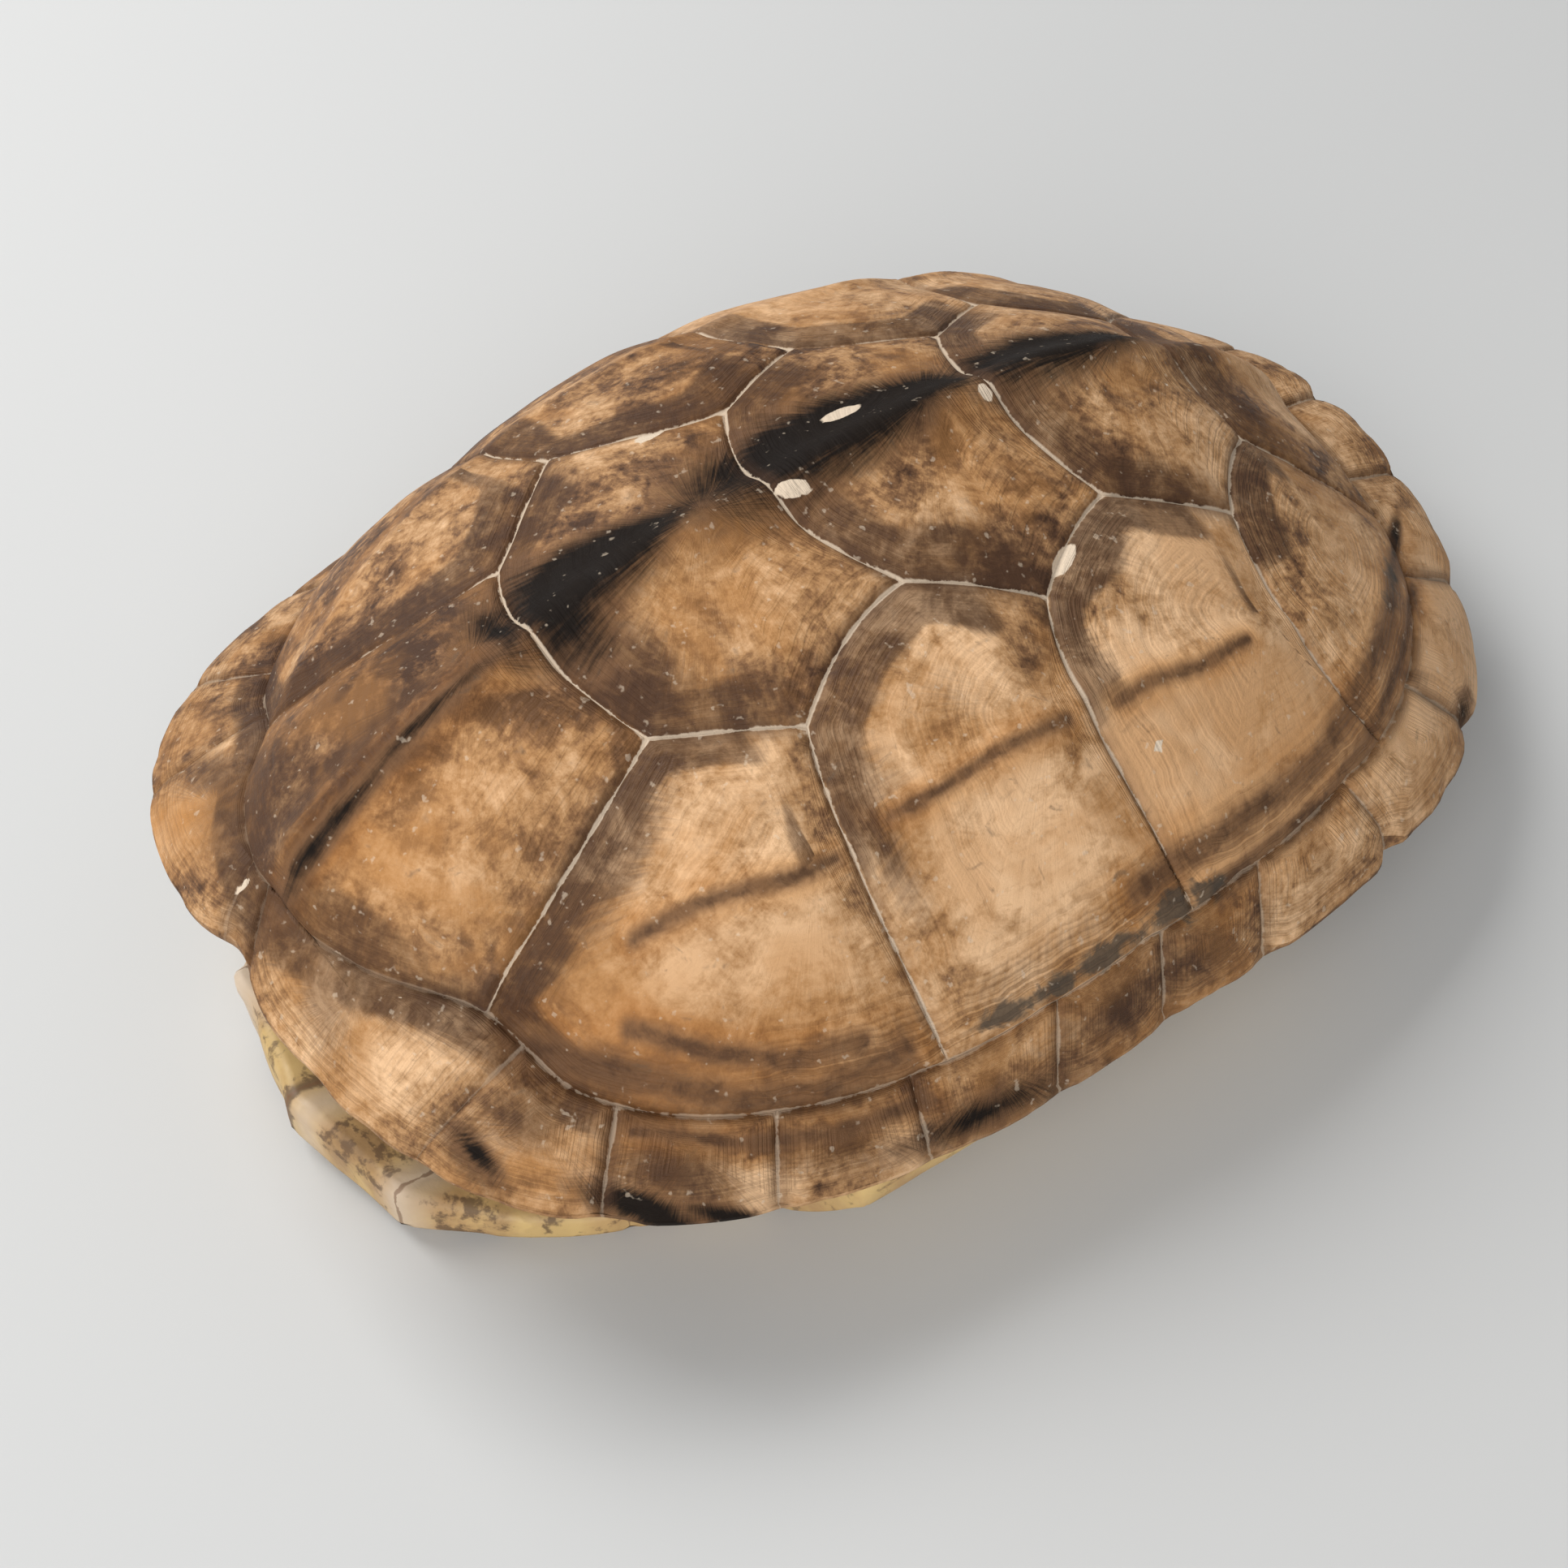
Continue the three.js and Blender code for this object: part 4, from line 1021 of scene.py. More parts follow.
def build_carapace(form, slots):
    net = draw_carapace_net(form)
    net.divide_seams()
    net.fill_scutes()
    net.refine(CREASES)
    last_step = len(RIM_LOOPS) + len(HOLLOW_LOOPS) + 1
    net.draw_out_edge(last_step)
    x, y, step, _ = net.arrays()
    top = step == 0
    flat = form.on_carapace(x, y)
    seam = net.distance_to(net.seams, flat, form.on_carapace)
    rim = net.distance_to(net.outline, flat, form.on_carapace)
    crease = distance_to_creases(CREASES, x, y)
    uneven = waves(x, y, *SLOW_WAVES) + waves(x, y, *QUICK_WAVES)
    lift = form.swell * (1 - bell(seam, SWELL_REACH)) * (1 - bell(rim, RIM_REACH))
    lift -= form.seam_depth * bell(seam, SEAM_HALF_WIDTH)
    lift -= CREASE_DEPTH * bell(crease, CREASE_HALF_SHARE)
    lift += uneven * (1 - bell(rim, WAVES_REACH))
    points = form.on_carapace(x, y, lift)
    points[:, 2] -= RIM_ROUND * bell(rim, RIM_ROUND_REACH)
    for number in range(1, last_step + 1):
        loop = step == number
        points[loop] = carapace_edge_points(form, x[loop], y[loop], number)
    frayed(points, x, y, rim, step < OUTER_RIM_LOOPS)
    paint = {name: soft_patches(patches, x, y) for name, patches in CARAPACE_MARKS.items()}
    bands, paint["lines"], paint["border"] = border_shade(net, x, y, seam, rim, top)
    paint["dark"] = np.maximum(paint["dark"], bands)
    paint["crease"] = crease
    paint["seam"] = seam
    everywhere, behind, up = SEAM_PALE
    paint["line"] = everywhere + behind * ramp(y, *SEAM_PALE_Y)
    paint["line"] += up * ramp(form.dome(x, y)[1], *SEAM_PALE_RISE)

    def slot_of(face):
        if face[net.scute] >= 0:
            return 0
        level = min(vertex[net.step] for vertex in face.verts)
        return 0 if level < 2 else 1 if level < len(RIM_LOOPS) else 2

    return net.finish("carapace_horn", points, paint, slots, slot_of)


# ---- Plastron ----

# Loops of the plastron's edge: how far each lies in on the rounded edge, and up the edge.
PLASTRON_EDGE_LOOPS = ((0.0, 0.0), (0.03, 0.35), (0.1, 0.65), (0.35, 0.88), (1.0, 1.0))
PLASTRON_INSIDE_LOOPS = (0.95, 0.88, 0.8, 0.7, 0.6, 0.5, 0.4, 0.3, 0.2, 0.1)
EDGE_START = 0.3
PLASTRON_SEAM_HALF_WIDTH = 0.45
PLASTRON_ROUND_REACH = 0.8
EDGE_WAVES = (0.25, 1.8, 6.5)
# Worn knobs on the front edge: x, y, height and radius.
FRONT_KNOBS = (
    (17.4, -61.8, 1.1, 1.9),
    (-11.6, -62.2, 2.0, 2.1),
    (4.8, -64.2, 0.7, 1.3),
    (-1.0, -64.2, 0.4, 2.0),
)
# What a knob rises beyond this also bulges it outward, by this share.
KNOB_BULGE_START = 0.5
KNOB_BULGE = 0.6


def draw_plastron_net(form):
    def bridge_point(angle):
        point = form.under_rim(np.array([angle], float), np.array([RIM_EDGE]))[0]
        return point[0], point[1]

    net = ScuteNet(form, PLASTRON_BENDS, {"bridge": bridge_point}, FRONT_LEAN)
    for name, (x, y) in PLASTRON_EDGE.items():
        net.corner(name + "L", x, y)
        net.corner(name + "R", -x, y)
    for name, y in {**PLASTRON_ENDS, **PLASTRON_MIDDLE}.items():
        net.corner(name, 0, y)
    for name, angle in BRIDGE_ANGLES.items():
        net.corner_on_ring(name + "L", "bridge", angle)
        net.corner_on_ring(name + "R", "bridge", 180 - angle)
    for side, mirror in (("L", 1), ("R", -1)):
        for names, (x, y) in PLASTRON_SCUTES:
            sided = [name if name in net.corners else name + side for name in names]
            net.add_scute(sided, (mirror * x, y), BIG_SCUTE_RINGS // 2)
    return net


def plastron_edge_points(form, x, y, seat, step):
    """Where the vertices of one loop of the edge or the inner face go."""
    if step > len(PLASTRON_EDGE_LOOPS) + len(PLASTRON_INSIDE_LOOPS):
        return stacked(np.zeros_like(x), np.zeros_like(x), form.plastron_thickness)
    inward, up = PLASTRON_EDGE_LOOPS[min(step, len(PLASTRON_EDGE_LOOPS)) - 1]
    rounding = EDGE_ROUND * (1 + front_share(y))
    shrink = 1 - inward * rounding / np.hypot(x, y)
    edge_x, edge_y = x * shrink, y * shrink
    low = form.plastron_height(x, y) + EDGE_ROUND + EDGE_START
    edge = stacked(edge_x, edge_y, low + (form.plastron_inside(edge_x, edge_y) - low) * up)
    for knob_x, knob_y, height, radius in FRONT_KNOBS:
        swell = height * up * bell(np.hypot(x - knob_x, y - knob_y), radius)
        edge[:, 2] += swell
        bulge = KNOB_BULGE * np.maximum(0, swell - KNOB_BULGE_START)
        edge[:, :2] *= 1 + (bulge / np.hypot(x, y))[:, None]
    under = form.under_rim(angle_of(x, y), RIM_EDGE + inward * (LIP_WIDTH - 2 * RIM_EDGE))
    under[:, 2] -= JOINT_GAP
    points = np.where(seat[:, None], under, edge)
    if step > len(PLASTRON_EDGE_LOOPS):
        share = PLASTRON_INSIDE_LOOPS[step - len(PLASTRON_EDGE_LOOPS) - 1]
        points[:, :2] *= share
        points[:, 2] = form.plastron_inside(points[:, 0], points[:, 1])
    return points


def build_plastron(form, slots):
    net = draw_plastron_net(form)
    net.divide_seams()
    net.fill_scutes()
    last_step = len(PLASTRON_EDGE_LOOPS) + len(PLASTRON_INSIDE_LOOPS) + 1
    net.draw_out_edge(last_step)
    x, y, step, seat = net.arrays()
    flat = form.on_plastron(x, y)
    seam = net.distance_to(net.seams, flat, form.on_plastron)
    edge = net.distance_to(net.outline, flat, form.on_plastron)
    lift = -form.seam_depth * bell(seam, PLASTRON_SEAM_HALF_WIDTH)
    lift -= EDGE_ROUND * bell(edge, PLASTRON_ROUND_REACH)
    points = form.on_plastron(x, y, lift)
    for number in range(1, last_step + 1):
        loop = step == number
        points[loop] = plastron_edge_points(form, x[loop], y[loop], seat[loop], number)
    outer = (step <= len(PLASTRON_EDGE_LOOPS)) & ~seat
    frayed(points, x, y, edge, outer)
    points[:, 2] += np.where(outer & (step > 1), waves(x, y, *EDGE_WAVES), 0)
    paint = {name: soft_patches(patches, x, y) for name, patches in PLASTRON_MARKS.items()}
    paint["seam"] = seam
    paint["light"] = soft_patches(FRONT_TIPS, x, y)

    def slot_of(face):
        level = min(vertex[net.step] for vertex in face.verts)
        return 0 if level < len(PLASTRON_EDGE_LOOPS) + 2 else 1

    return net.finish("plastron_horn", points, paint, slots, slot_of)


# ---- Materials ----


class Nodes:
    """Adds nodes to a tree, with each input given as a value or as the socket to link from."""

    def __init__(self, tree):
        self.tree = tree
        self.count = 0

    def add(self, kind, inputs=(), **settings):
        node = self.tree.nodes.new(kind)
        node.location = (200 * (self.count % 12), -260 * (self.count // 12))
        self.count += 1
        for name, value in settings.items():
            setattr(node, name, value)
        for socket, value in dict(inputs).items():
            if isinstance(value, bpy.types.NodeSocket):
                self.tree.links.new(value, node.inputs[socket])
            else:
                node.inputs[socket].default_value = value
        return node

    def link(self, value, socket):
        self.tree.links.new(value, socket)

    def math(self, operation, *values):
        return self.add("ShaderNodeMath", enumerate(values), operation=operation).outputs[0]

    def times(self, first, second):
        return self.math("MULTIPLY", first, second)

    def times_add(self, first, second, added):
        return self.math("MULTIPLY_ADD", first, second, added)

    def mix(self, factor, first, second, blend="MIX"):
        """Mixes two colours, each given as a colour or as the socket to link from."""
        inputs = {0: factor}
        for socket, colour in ((6, first), (7, second)):
            is_socket = isinstance(colour, bpy.types.NodeSocket)
            inputs[socket] = colour if is_socket else rgba(colour)
        node = self.add("ShaderNodeMix", inputs, data_type="RGBA", blend_type=blend)
        return node.outputs[2]

    def vector_math(self, operation, first, second):
        inputs = {0: first, 1: second}
        return self.add("ShaderNodeVectorMath", inputs, operation=operation).outputs[0]

    def noise_along(self, place):
        inputs = {"W": place, "Scale": 1.0}
        return self.add("ShaderNodeTexNoise", inputs, noise_dimensions="1D").outputs[0]

    def bump(self, height, strength, depth):
        inputs = {"Strength": strength, "Distance": depth, "Height": height}
        return self.add("ShaderNodeBump", inputs).outputs[0]

    def noise(self, place, scale, detail=3.0, roughness=0.55, distortion=0.0):
        inputs = {"Vector": place, "Scale": scale, "Detail": detail}
        inputs.update(Roughness=roughness, Distortion=distortion)
        return self.add("ShaderNodeTexNoise", inputs).outputs[0]

    def span(self, value, low, high, to_low=0.0, to_high=1.0):
        inputs = {0: value, 1: low, 2: high, 3: to_low, 4: to_high}
        return self.add("ShaderNodeMapRange", inputs, interpolation_type="SMOOTHSTEP").outputs[0]

    def colour_ramp(self, value, stops):
        node = self.add("ShaderNodeValToRGB", {0: value})
        elements = node.color_ramp.elements
        elements[0].position, elements[1].position = stops[0][0], stops[-1][0]
        for place, _ in stops[1:-1]:
            elements.new(place)
        for element, (_, colour) in zip(elements, stops):
            element.color = rgba(colour)
        return node.outputs[0]

    def attribute(self, name, output="Fac"):
        return self.add("ShaderNodeAttribute", attribute_name=name).outputs[output]

    def group(self, tree, **inputs):
        return self.add("ShaderNodeGroup", inputs, node_tree=tree).outputs


def new_group(name, inputs, outputs):
    tree = bpy.data.node_groups.new(name, "ShaderNodeTree")
    for socket, kind in inputs.items():
        tree.interface.new_socket(socket, in_out="INPUT", socket_type=kind)
    for socket, kind in outputs.items():
        tree.interface.new_socket(socket, in_out="OUTPUT", socket_type=kind)
    nodes = Nodes(tree)
    return nodes, nodes.add("NodeGroupInput").outputs, nodes.add("NodeGroupOutput").inputs


def rgba(colour):
    return (*colour, 1.0)


# Noise over the horn: waves per metre, detail, roughness and distortion.
CLOUDS = (60.0, 4.0, 0.6, 0.6)
MOTTLE = (230.0, 5.0, 0.7, 0.4)
BLOTCHES = (520.0, 3.0, 0.6, 0.8)
GRAIN = (1300.0, 4.0, 0.75)
GOLDEN_CLOUDS = (95.0, 3.0, 0.6, 0.5)
SPECKS = (1000.0, 2.0, 0.5)
WANDER = (130.0, 3.0)
FIBRES = (1.0, 4.0, 0.65)
PLASTRON_CLOUDS = (90.0, 5.0, 0.6, 0.3)
PLASTRON_MOTTLE = (420.0, 4.0, 0.65)
BONE_CLOUDS = (60.0, 5.0, 0.6, 0.3)
PORES = (900.0, 3.0, 0.6)
# Growth lines: how much rings and border lines wander, and how close the border lines lie.
RING_WANDER = 3.0
LINE_WANDER = 4.0
LINES_PER_MM = 2.6
LINES_REACH = (7.0, 1.5)
# Fibres are long outward and narrow across, and drift over the scute.
FIBRE_STRETCH = (34.0, 34.0, 3.0)
FIBRE_DRIFT = (90.0, 90.0, 90.0)
CARAPACE_RINGS = 20.0
PLASTRON_RINGS = 14.0
# Steps of the horn's tone from dark to pale.
TONE_START = -0.545
TONE_STOPS = {"dark": 0.32, "brown": 0.42, "tan": 0.52, "pale": 0.71}
# Beside a crease the horn is stained by this much.
RUST_TINT = (0.88, 0.77, 0.62)
SEAM_WIDTH = 0.19
PLASTRON_SEAM_WIDTH = 0.2
HORN_GLOSS = 0.13


def growth_group():
    """Growth rings round a scute's centre, lines along its border, and fibres that run outward."""
    nodes, given, result = new_group(
        "Growth Lines",
        {
            "Growth": "NodeSocketVector",
            "Place": "NodeSocketVector",
            "Distance": "NodeSocketFloat",
            "Count": "NodeSocketFloat",
        },
        {"Rings": "NodeSocketFloat", "Lines": "NodeSocketFloat", "Fibres": "NodeSocketFloat"},
    )
    share = nodes.add("ShaderNodeSeparateXYZ", {0: given["Growth"]}).outputs[2]
    wander = nodes.noise(given["Place"], *WANDER)
    ring = nodes.times_add(share, given["Count"], nodes.times(wander, RING_WANDER))
    nodes.link(nodes.span(nodes.noise_along(ring), 0.35, 0.68), result["Rings"])
    along = nodes.times_add(given["Distance"], LINES_PER_MM, nodes.times(wander, LINE_WANDER))
    line = nodes.span(nodes.noise_along(along), 0.45, 0.62)
    near = nodes.span(given["Distance"], *LINES_REACH)
    nodes.link(nodes.times(line, near), result["Lines"])
    around = nodes.vector_math("MULTIPLY", given["Growth"], FIBRE_STRETCH)
    drift = nodes.vector_math("MULTIPLY", given["Place"], FIBRE_DRIFT)
    both = nodes.vector_math("ADD", around, drift)
    nodes.link(nodes.noise(both, *FIBRES), result["Fibres"])
    return nodes.tree


def broken_group():
    """A soft mask with its edge broken up by clouds."""
    nodes, given, result = new_group(
        "Broken Mask",
        {"Mask": "NodeSocketFloat", "Clouds": "NodeSocketFloat", "Raggedness": "NodeSocketFloat"},
        {"Mask": "NodeSocketFloat"},
    )
    shift = nodes.times(nodes.math("SUBTRACT", given["Clouds"], 0.5), given["Raggedness"])
    total = nodes.math("ADD", given["Mask"], shift)
    nodes.link(nodes.span(total, 0.22, 0.78), result["Mask"])
    return nodes.tree


def seam_group():
    """The thin line in a seam, and the worn horn beside it."""
    nodes, given, result = new_group(
        "Seam Line",
        {"Distance": "NodeSocketFloat", "Clouds": "NodeSocketFloat", "Width": "NodeSocketFloat"},
        {"Line": "NodeSocketFloat", "Beside": "NodeSocketFloat"},
    )
    width = nodes.times(given["Width"], nodes.span(given["Clouds"], 0.36, 0.62, 0.2, 1.3))
    line = nodes.span(nodes.math("DIVIDE", given["Distance"], width), 1.3, 0.6)
    nodes.link(line, result["Line"])
    nodes.link(nodes.span(given["Distance"], 1.6, 0.2), result["Beside"])
    return nodes.tree


def horn_groups():
    """The node groups that the horn materials share, made once."""
    makers = {
        "Growth Lines": growth_group,
        "Broken Mask": broken_group,
        "Seam Line": seam_group,
    }
    return [bpy.data.node_groups.get(name) or maker() for name, maker in makers.items()]


def new_material(name):
    material = bpy.data.materials.new(name)
    material.use_nodes = True
    material.node_tree.nodes.clear()
    nodes = Nodes(material.node_tree)
    shader = nodes.add("ShaderNodeBsdfPrincipled")
    output = nodes.add("ShaderNodeOutputMaterial")
    nodes.link(shader.outputs[0], output.inputs[0])
    return material, nodes, shader.inputs


def scute_horn(colours):
    growth_lines, broken_mask, seam_line = horn_groups()
    material, nodes, shader = new_material("Scute Horn")
    place = nodes.add("ShaderNodeTexCoord").outputs["Object"]
    marks = ("light", "tone", "warm", "dark", "crease", "black", "grey", "pale", "lines", "line")
    painted = {name: nodes.attribute(name) for name in (*marks, "seam", "border")}
    growth = nodes.group(
        growth_lines,
        Growth=nodes.attribute("growth", "Vector"),
        Place=place,
        Distance=painted["border"],
        Count=CARAPACE_RINGS,
    )
    kinds = (CLOUDS, MOTTLE, BLOTCHES, GRAIN)
    clouds, mottle, blotches, grain = (nodes.noise(place, *kind) for kind in kinds)

    # Open horn, from dark to pale.
    lines = nodes.times(growth["Lines"], painted["lines"])
    # Lighter and darker tone from the painted patches and each scute's tone, partly painted light
    # on the left costals and painted shade on the right.
    tone = nodes.times_add(painted["light"], 0.2, TONE_START)
    amounts = (
        (clouds, 0.75),
        (mottle, 0.65),
        (blotches, 0.35),
        (growth["Fibres"], 0.1),
        (grain, 0.25),
        (painted["tone"], 1.0),
        (growth["Rings"], -0.02),
        (lines, -0.05),
    )
    for value, amount in amounts:
        tone = nodes.times_add(value, amount, tone)
    stops = [(place_on_ramp, getattr(colours, name)) for name, place_on_ramp in TONE_STOPS.items()]
    base = nodes.colour_ramp(tone, stops)
    golden = nodes.span(nodes.noise(place, *GOLDEN_CLOUDS), 0.45, 0.62)
    warm = nodes.times_add(golden, 0.6, painted["warm"])
    base = nodes.mix(nodes.times(warm, 0.6), base, colours.golden)

    # Dark borders and growth lines.
    streaky = nodes.times_add(growth["Fibres"], 0.5, nodes.times(mottle, 0.5))
    dark = nodes.group(broken_mask, Mask=painted["dark"], Clouds=streaky, Raggedness=1.6)
    depth = nodes.times_add(painted["dark"], 0.45, 0.45)
    depth = nodes.times(depth, nodes.span(mottle, 0.38, 0.65, 1.0, 0.7))
    base = nodes.mix(nodes.times(dark["Mask"], depth), base, colours.dark)
    base = nodes.mix(nodes.times(lines, 0.3), base, colours.dark)

    # Creases: stained beside the line, brown towards it, dark in places; along the side keels the
    # brown and dark are partly painted shade of the bend.
    apart = nodes.times_add(blotches, 0.9, painted["crease"])
    base = nodes.mix(nodes.span(apart, 3.2, 1.2, 0.0, 0.9), base, RUST_TINT, "MULTIPLY")
    base = nodes.mix(nodes.span(apart, 1.8, 0.7, 0.0, 0.75), base, colours.brown)
    in_places = nodes.span(mottle, 0.4, 0.62, 0.2, 0.8)
    crease = nodes.times(nodes.span(apart, 1.1, 0.55), in_places)
    base = nodes.mix(crease, base, colours.dark)

    # Black streaks with a brown edge.
    edge = nodes.times_add(blotches, 0.8, painted["black"])
    base = nodes.mix(nodes.span(edge, 0.45, 0.9, 0.0, 0.75), base, colours.brown)
    black = nodes.group(broken_mask, Mask=painted["black"], Clouds=streaky, Raggedness=1.3)
    base = nodes.mix(nodes.times(black["Mask"], 0.98), base, colours.black)

    # Seams, dirt, specks and chips.
    seam = nodes.group(seam_line, Distance=painted["seam"], Clouds=mottle, Width=SEAM_WIDTH)
    beside = nodes.times(seam["Beside"], nodes.span(clouds, 0.35, 0.6, 0.1, 0.6))
    base = nodes.mix(beside, base, colours.dark)
    dirt = nodes.group(broken_mask, Mask=painted["grey"], Clouds=blotches, Raggedness=1.8)
    base = nodes.mix(nodes.times(dirt["Mask"], 0.85), base, colours.grey)
    specks = nodes.span(nodes.noise(place, *SPECKS), 0.66, 0.74, 0.0, 0.35)
    base = nodes.mix(specks, base, colours.cream)
    line = nodes.times(seam["Line"], painted["line"])
    base = nodes.mix(nodes.times(line, 0.75), base, colours.cream)
    torn = nodes.times_add(mottle, 0.35, painted["pale"])
    base = nodes.mix(nodes.span(torn, 0.66, 0.72), base, colours.cream)
    nodes.link(base, shader["Base Color"])

    # Gloss and relief.
    rough = nodes.times_add(black["Mask"], 0.2, nodes.span(mottle, 0.3, 0.7, 0.48, 0.63))
    nodes.link(rough, shader["Roughness"])
    shader["Specular IOR Level"].default_value = HORN_GLOSS
    relief = nodes.times_add(growth["Rings"], -0.3, nodes.times(lines, -0.5))
    for value, amount in ((growth["Fibres"], 0.35), (grain, 0.4), (mottle, 0.6)):
        relief = nodes.times_add(value, amount, relief)
    nodes.link(nodes.bump(relief, 0.6, 0.0003), shader["Normal"])
    return material


def plastron_horn(name, colours):
    growth_lines, broken_mask, seam_line = horn_groups()
    material, nodes, shader = new_material(name)
    place = nodes.add("ShaderNodeTexCoord").outputs["Object"]
    distance = nodes.attribute("seam")
    light = nodes.attribute("light")
    growth = nodes.group(
        growth_lines,
        Growth=nodes.attribute("growth", "Vector"),
        Place=place,
        Distance=distance,
        Count=PLASTRON_RINGS,
    )
    clouds = nodes.noise(place, *PLASTRON_CLOUDS)
    mottle = nodes.noise(place, *PLASTRON_MOTTLE)
    base = nodes.mix(nodes.span(clouds, 0.4, 0.65, 0.0, 0.7), colours.yellow, colours.tan)
    base = nodes.mix(light, base, colours.cream)
    base = nodes.mix(nodes.times(growth["Rings"], 0.2), base, colours.brown)
    # Dark stains; the dark marks include painted shadow on the front edge under the carapace's rim.
    stain = nodes.math("ADD", nodes.attribute("dark"), nodes.span(mottle, 0.46, 0.66, 0.0, 0.6))
    stain = nodes.times_add(light, -0.6, stain)
    dark = nodes.group(broken_mask, Mask=stain, Clouds=clouds, Raggedness=1.3)
    base = nodes.mix(nodes.times(dark["Mask"], 0.75), base, colours.dark)
    seam = nodes.group(seam_line, Distance=distance, Clouds=mottle, Width=PLASTRON_SEAM_WIDTH)
    base = nodes.mix(nodes.times(seam["Line"], 0.7), base, colours.brown)
    nodes.link(base, shader["Base Color"])
    nodes.link(nodes.span(mottle, 0.3, 0.7, 0.45, 0.65), shader["Roughness"])
    relief = nodes.times_add(growth["Rings"], -0.4, nodes.times(mottle, 0.6))
    nodes.link(nodes.bump(relief, 0.5, 0.0003), shader["Normal"])
    return material


def inner_bone(colours):
    material, nodes, shader = new_material("Inner Bone")
    place = nodes.add("ShaderNodeTexCoord").outputs["Object"]
    stained = nodes.span(nodes.noise(place, *BONE_CLOUDS), 0.4, 0.75, 0.0, 0.6)
    base = nodes.mix(stained, colours.bone, colours.brown)
    nodes.link(base, shader["Base Color"])
    shader["Roughness"].default_value = 0.7
    nodes.link(nodes.bump(nodes.noise(place, *PORES), 0.4, 0.0002), shader["Normal"])
    return material


# ---- Operators ----


def stands_for(piece, node):
    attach(piece, "root")
    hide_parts(node)


class MakeCarapace(bpy.types.Operator):
    """Makes the domed carapace with its horny scutes"""

    bl_idname = "turtle_shell.make_carapace"
    bl_label = "Make Carapace"

    def execute(self, context):
        colours = context.scene.horn_colours
        rim_horn = plastron_horn("Rim Underside Horn", colours)
        slots = [scute_horn(colours), rim_horn, inner_bone(colours)]
        piece = build_carapace(ShellForm(context.scene.shell_sizes), slots)
        stands_for(piece, "carapace")
        return {"FINISHED"}


class MakePlastron(bpy.types.Operator):
    """Makes the flat plastron under the carapace"""

    bl_idname = "turtle_shell.make_plastron"
    bl_label = "Make Plastron"

    def execute(self, context):
        colours = context.scene.horn_colours
        slots = [plastron_horn("Plastron Horn", colours), inner_bone(colours)]
        piece = build_plastron(ShellForm(context.scene.shell_sizes), slots)
        stands_for(piece, "plastron")
        return {"FINISHED"}


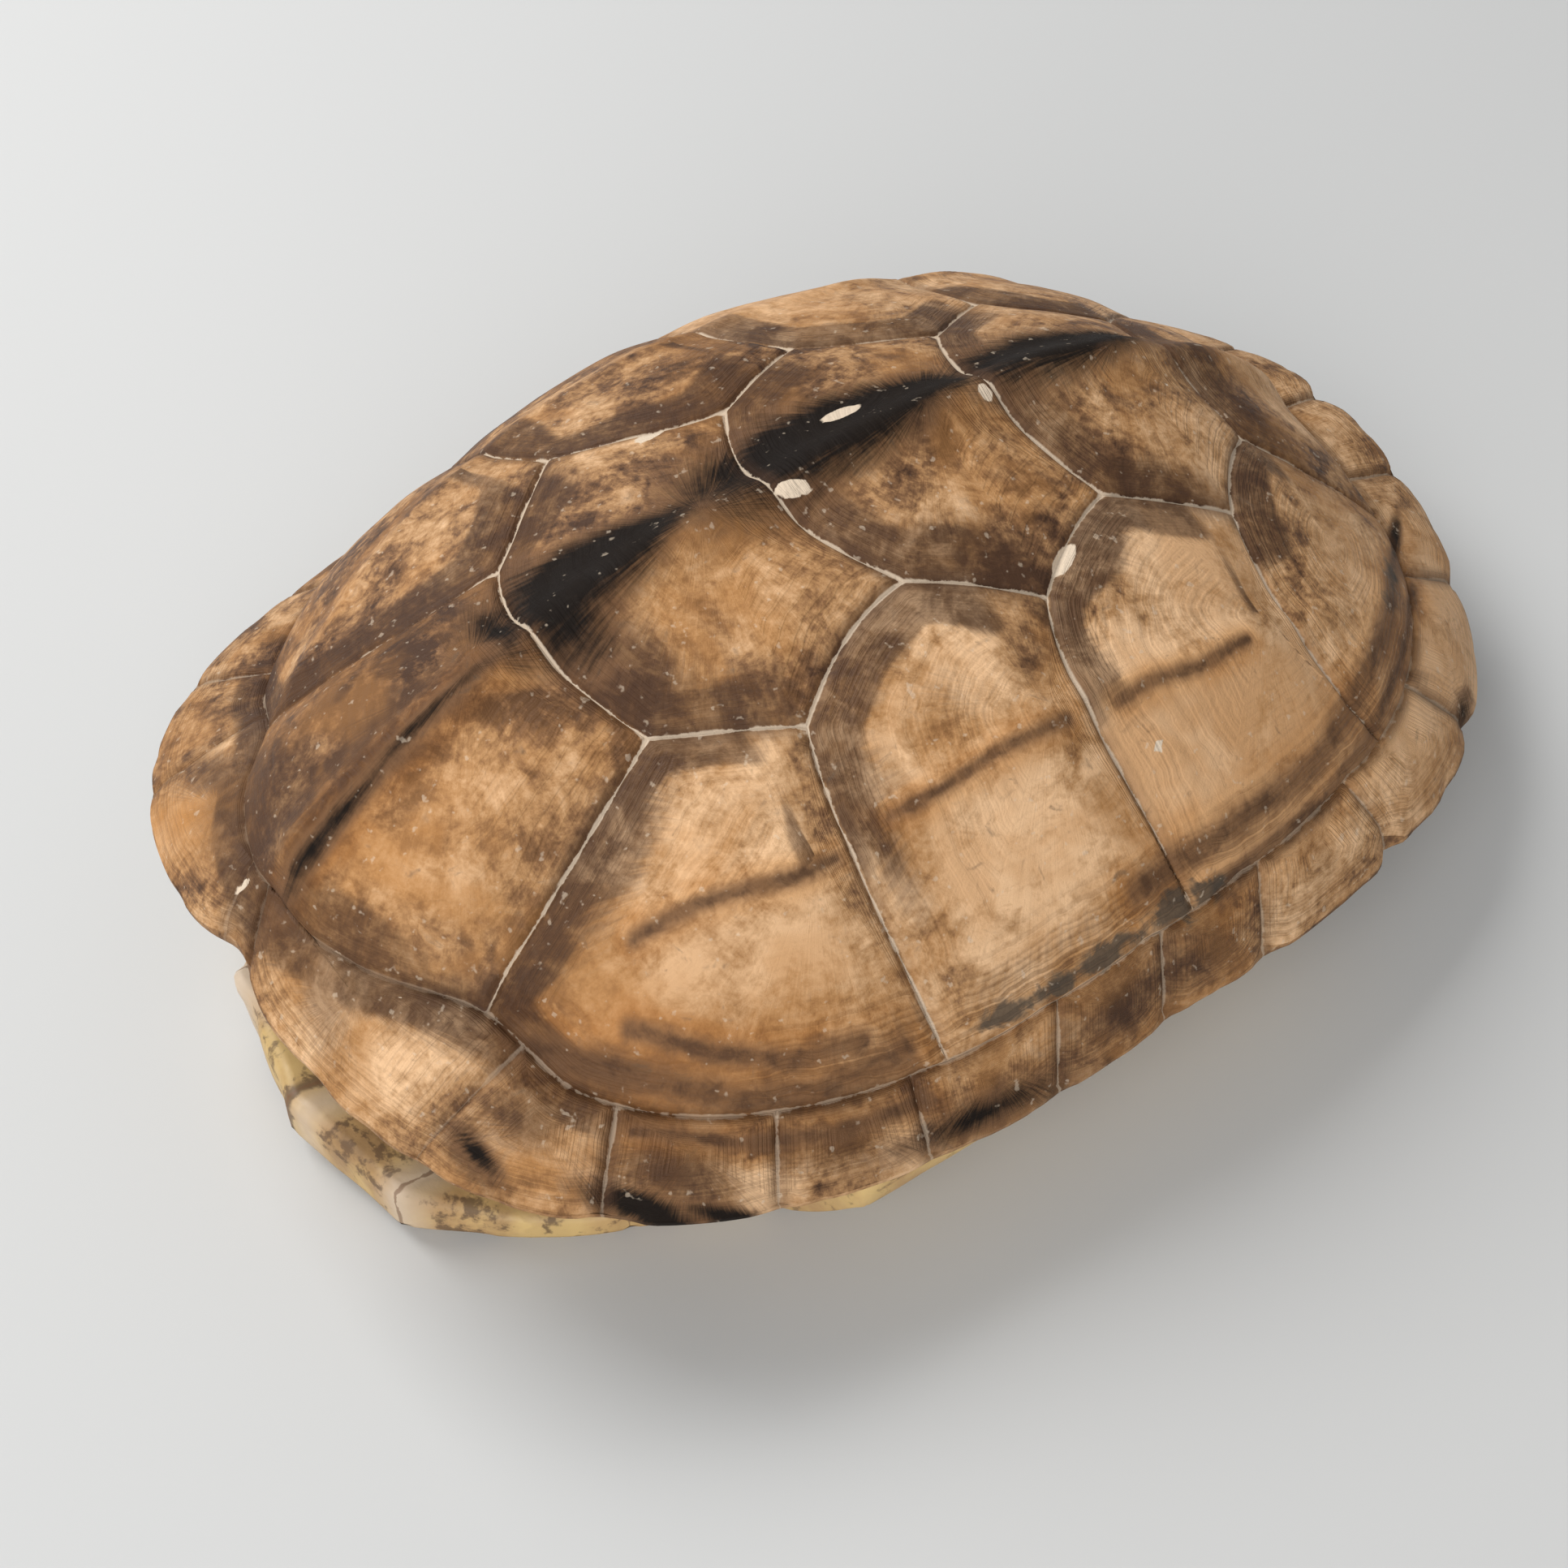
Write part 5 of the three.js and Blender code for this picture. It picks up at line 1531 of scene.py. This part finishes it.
class MakeStage(bpy.types.Operator):
    """Adds the floor, the soft lights and the camera"""

    bl_idname = "turtle_shell.make_stage"
    bl_label = "Make Stage"

    def execute(self, context):
        setup = context.scene.stage_setup
        self.make_floor(setup)
        self.make_light("Key Light", KEY_PLACE, KEY_SIZE, setup.key_power)
        self.make_light("Fill Light", FILL_PLACE, FILL_SIZE, setup.fill_power)
        self.make_world(context, setup)
        self.make_camera(context, setup)
        context.scene.view_settings.view_transform = "Standard"
        return {"FINISHED"}

    def make_floor(self, setup):
        material, _, shader = new_material("Floor")
        shader["Base Color"].default_value = rgba(setup.floor_colour)
        shader["Roughness"].default_value = FLOOR_ROUGHNESS
        bm = bmesh.new()
        bmesh.ops.create_grid(bm, x_segments=1, y_segments=1, size=FLOOR_HALF_SIZE)
        mesh = bpy.data.meshes.new("Floor")
        bm.to_mesh(mesh)
        bm.free()
        mesh.materials.append(material)
        floor = add_object("Floor", mesh)
        floor.location.z = FLOOR_DROP

    def make_light(self, name, place, size, power):
        data = bpy.data.lights.new(name, "AREA")
        data.size = size
        data.energy = power
        light = add_object(name, data)
        light.location = place
        light.rotation_mode = "QUATERNION"
        light.rotation_quaternion = (-Vector(place)).to_track_quat("-Z", "Y")

    def make_world(self, context, setup):
        world = bpy.data.worlds.new("Studio")
        world.use_nodes = True
        background = world.node_tree.nodes["Background"].inputs
        background["Color"].default_value = rgba(SKY_COLOUR)
        background["Strength"].default_value = setup.sky
        context.scene.world = world

    def make_camera(self, context, setup):
        turn, down, roll = setup.azimuth, setup.elevation, setup.roll
        right = Vector((math.cos(turn), math.sin(turn), 0))
        level = math.cos(down)
        back = Vector((math.sin(turn) * level, -math.cos(turn) * level, math.sin(down)))
        up = back.cross(right)
        rolled_right = right * math.cos(roll) + up * math.sin(roll)
        rolled_up = up * math.cos(roll) - right * math.sin(roll)
        data = bpy.data.cameras.new("Camera")
        data.lens = setup.lens
        data.sensor_width = SENSOR_WIDTH
        data.clip_start = CLIP_START
        camera = add_object("Camera", data)
        axes = Matrix((rolled_right, rolled_up, back)).transposed()
        camera.rotation_mode = "QUATERNION"
        camera.rotation_quaternion = axes.to_quaternion()
        camera.location = setup.camera_place
        context.scene.camera = camera


class TurtleShellPanel(bpy.types.Panel):
    bl_label = "Turtle Shell"
    bl_idname = "VIEW3D_PT_turtle_shell"
    bl_space_type = "VIEW_3D"
    bl_region_type = "UI"
    bl_category = "Turtle Shell"

    def draw(self, context):
        for operator in OPERATORS:
            self.layout.operator(operator.bl_idname)
        scene = context.scene
        for settings in (scene.shell_sizes, scene.horn_colours, scene.stage_setup):
            box = self.layout.box()
            for name in settings.__annotations__:
                box.prop(settings, name)


OPERATORS = (MakeCarapace, MakePlastron, MakeStage)
CLASSES = (ShellSizes, HornColours, StageSetup, *OPERATORS, TurtleShellPanel)


def register():
    for cls in CLASSES:
        bpy.utils.register_class(cls)
    bpy.types.Scene.shell_sizes = bpy.props.PointerProperty(type=ShellSizes)
    bpy.types.Scene.horn_colours = bpy.props.PointerProperty(type=HornColours)
    bpy.types.Scene.stage_setup = bpy.props.PointerProperty(type=StageSetup)


def unregister():
    del bpy.types.Scene.stage_setup
    del bpy.types.Scene.horn_colours
    del bpy.types.Scene.shell_sizes
    for cls in reversed(CLASSES):
        bpy.utils.unregister_class(cls)


def main():
    register()
    bpy.ops.turtle_shell.make_carapace()
    bpy.ops.turtle_shell.make_plastron()
    bpy.ops.turtle_shell.make_stage()


if __name__ == "__main__":
    main()
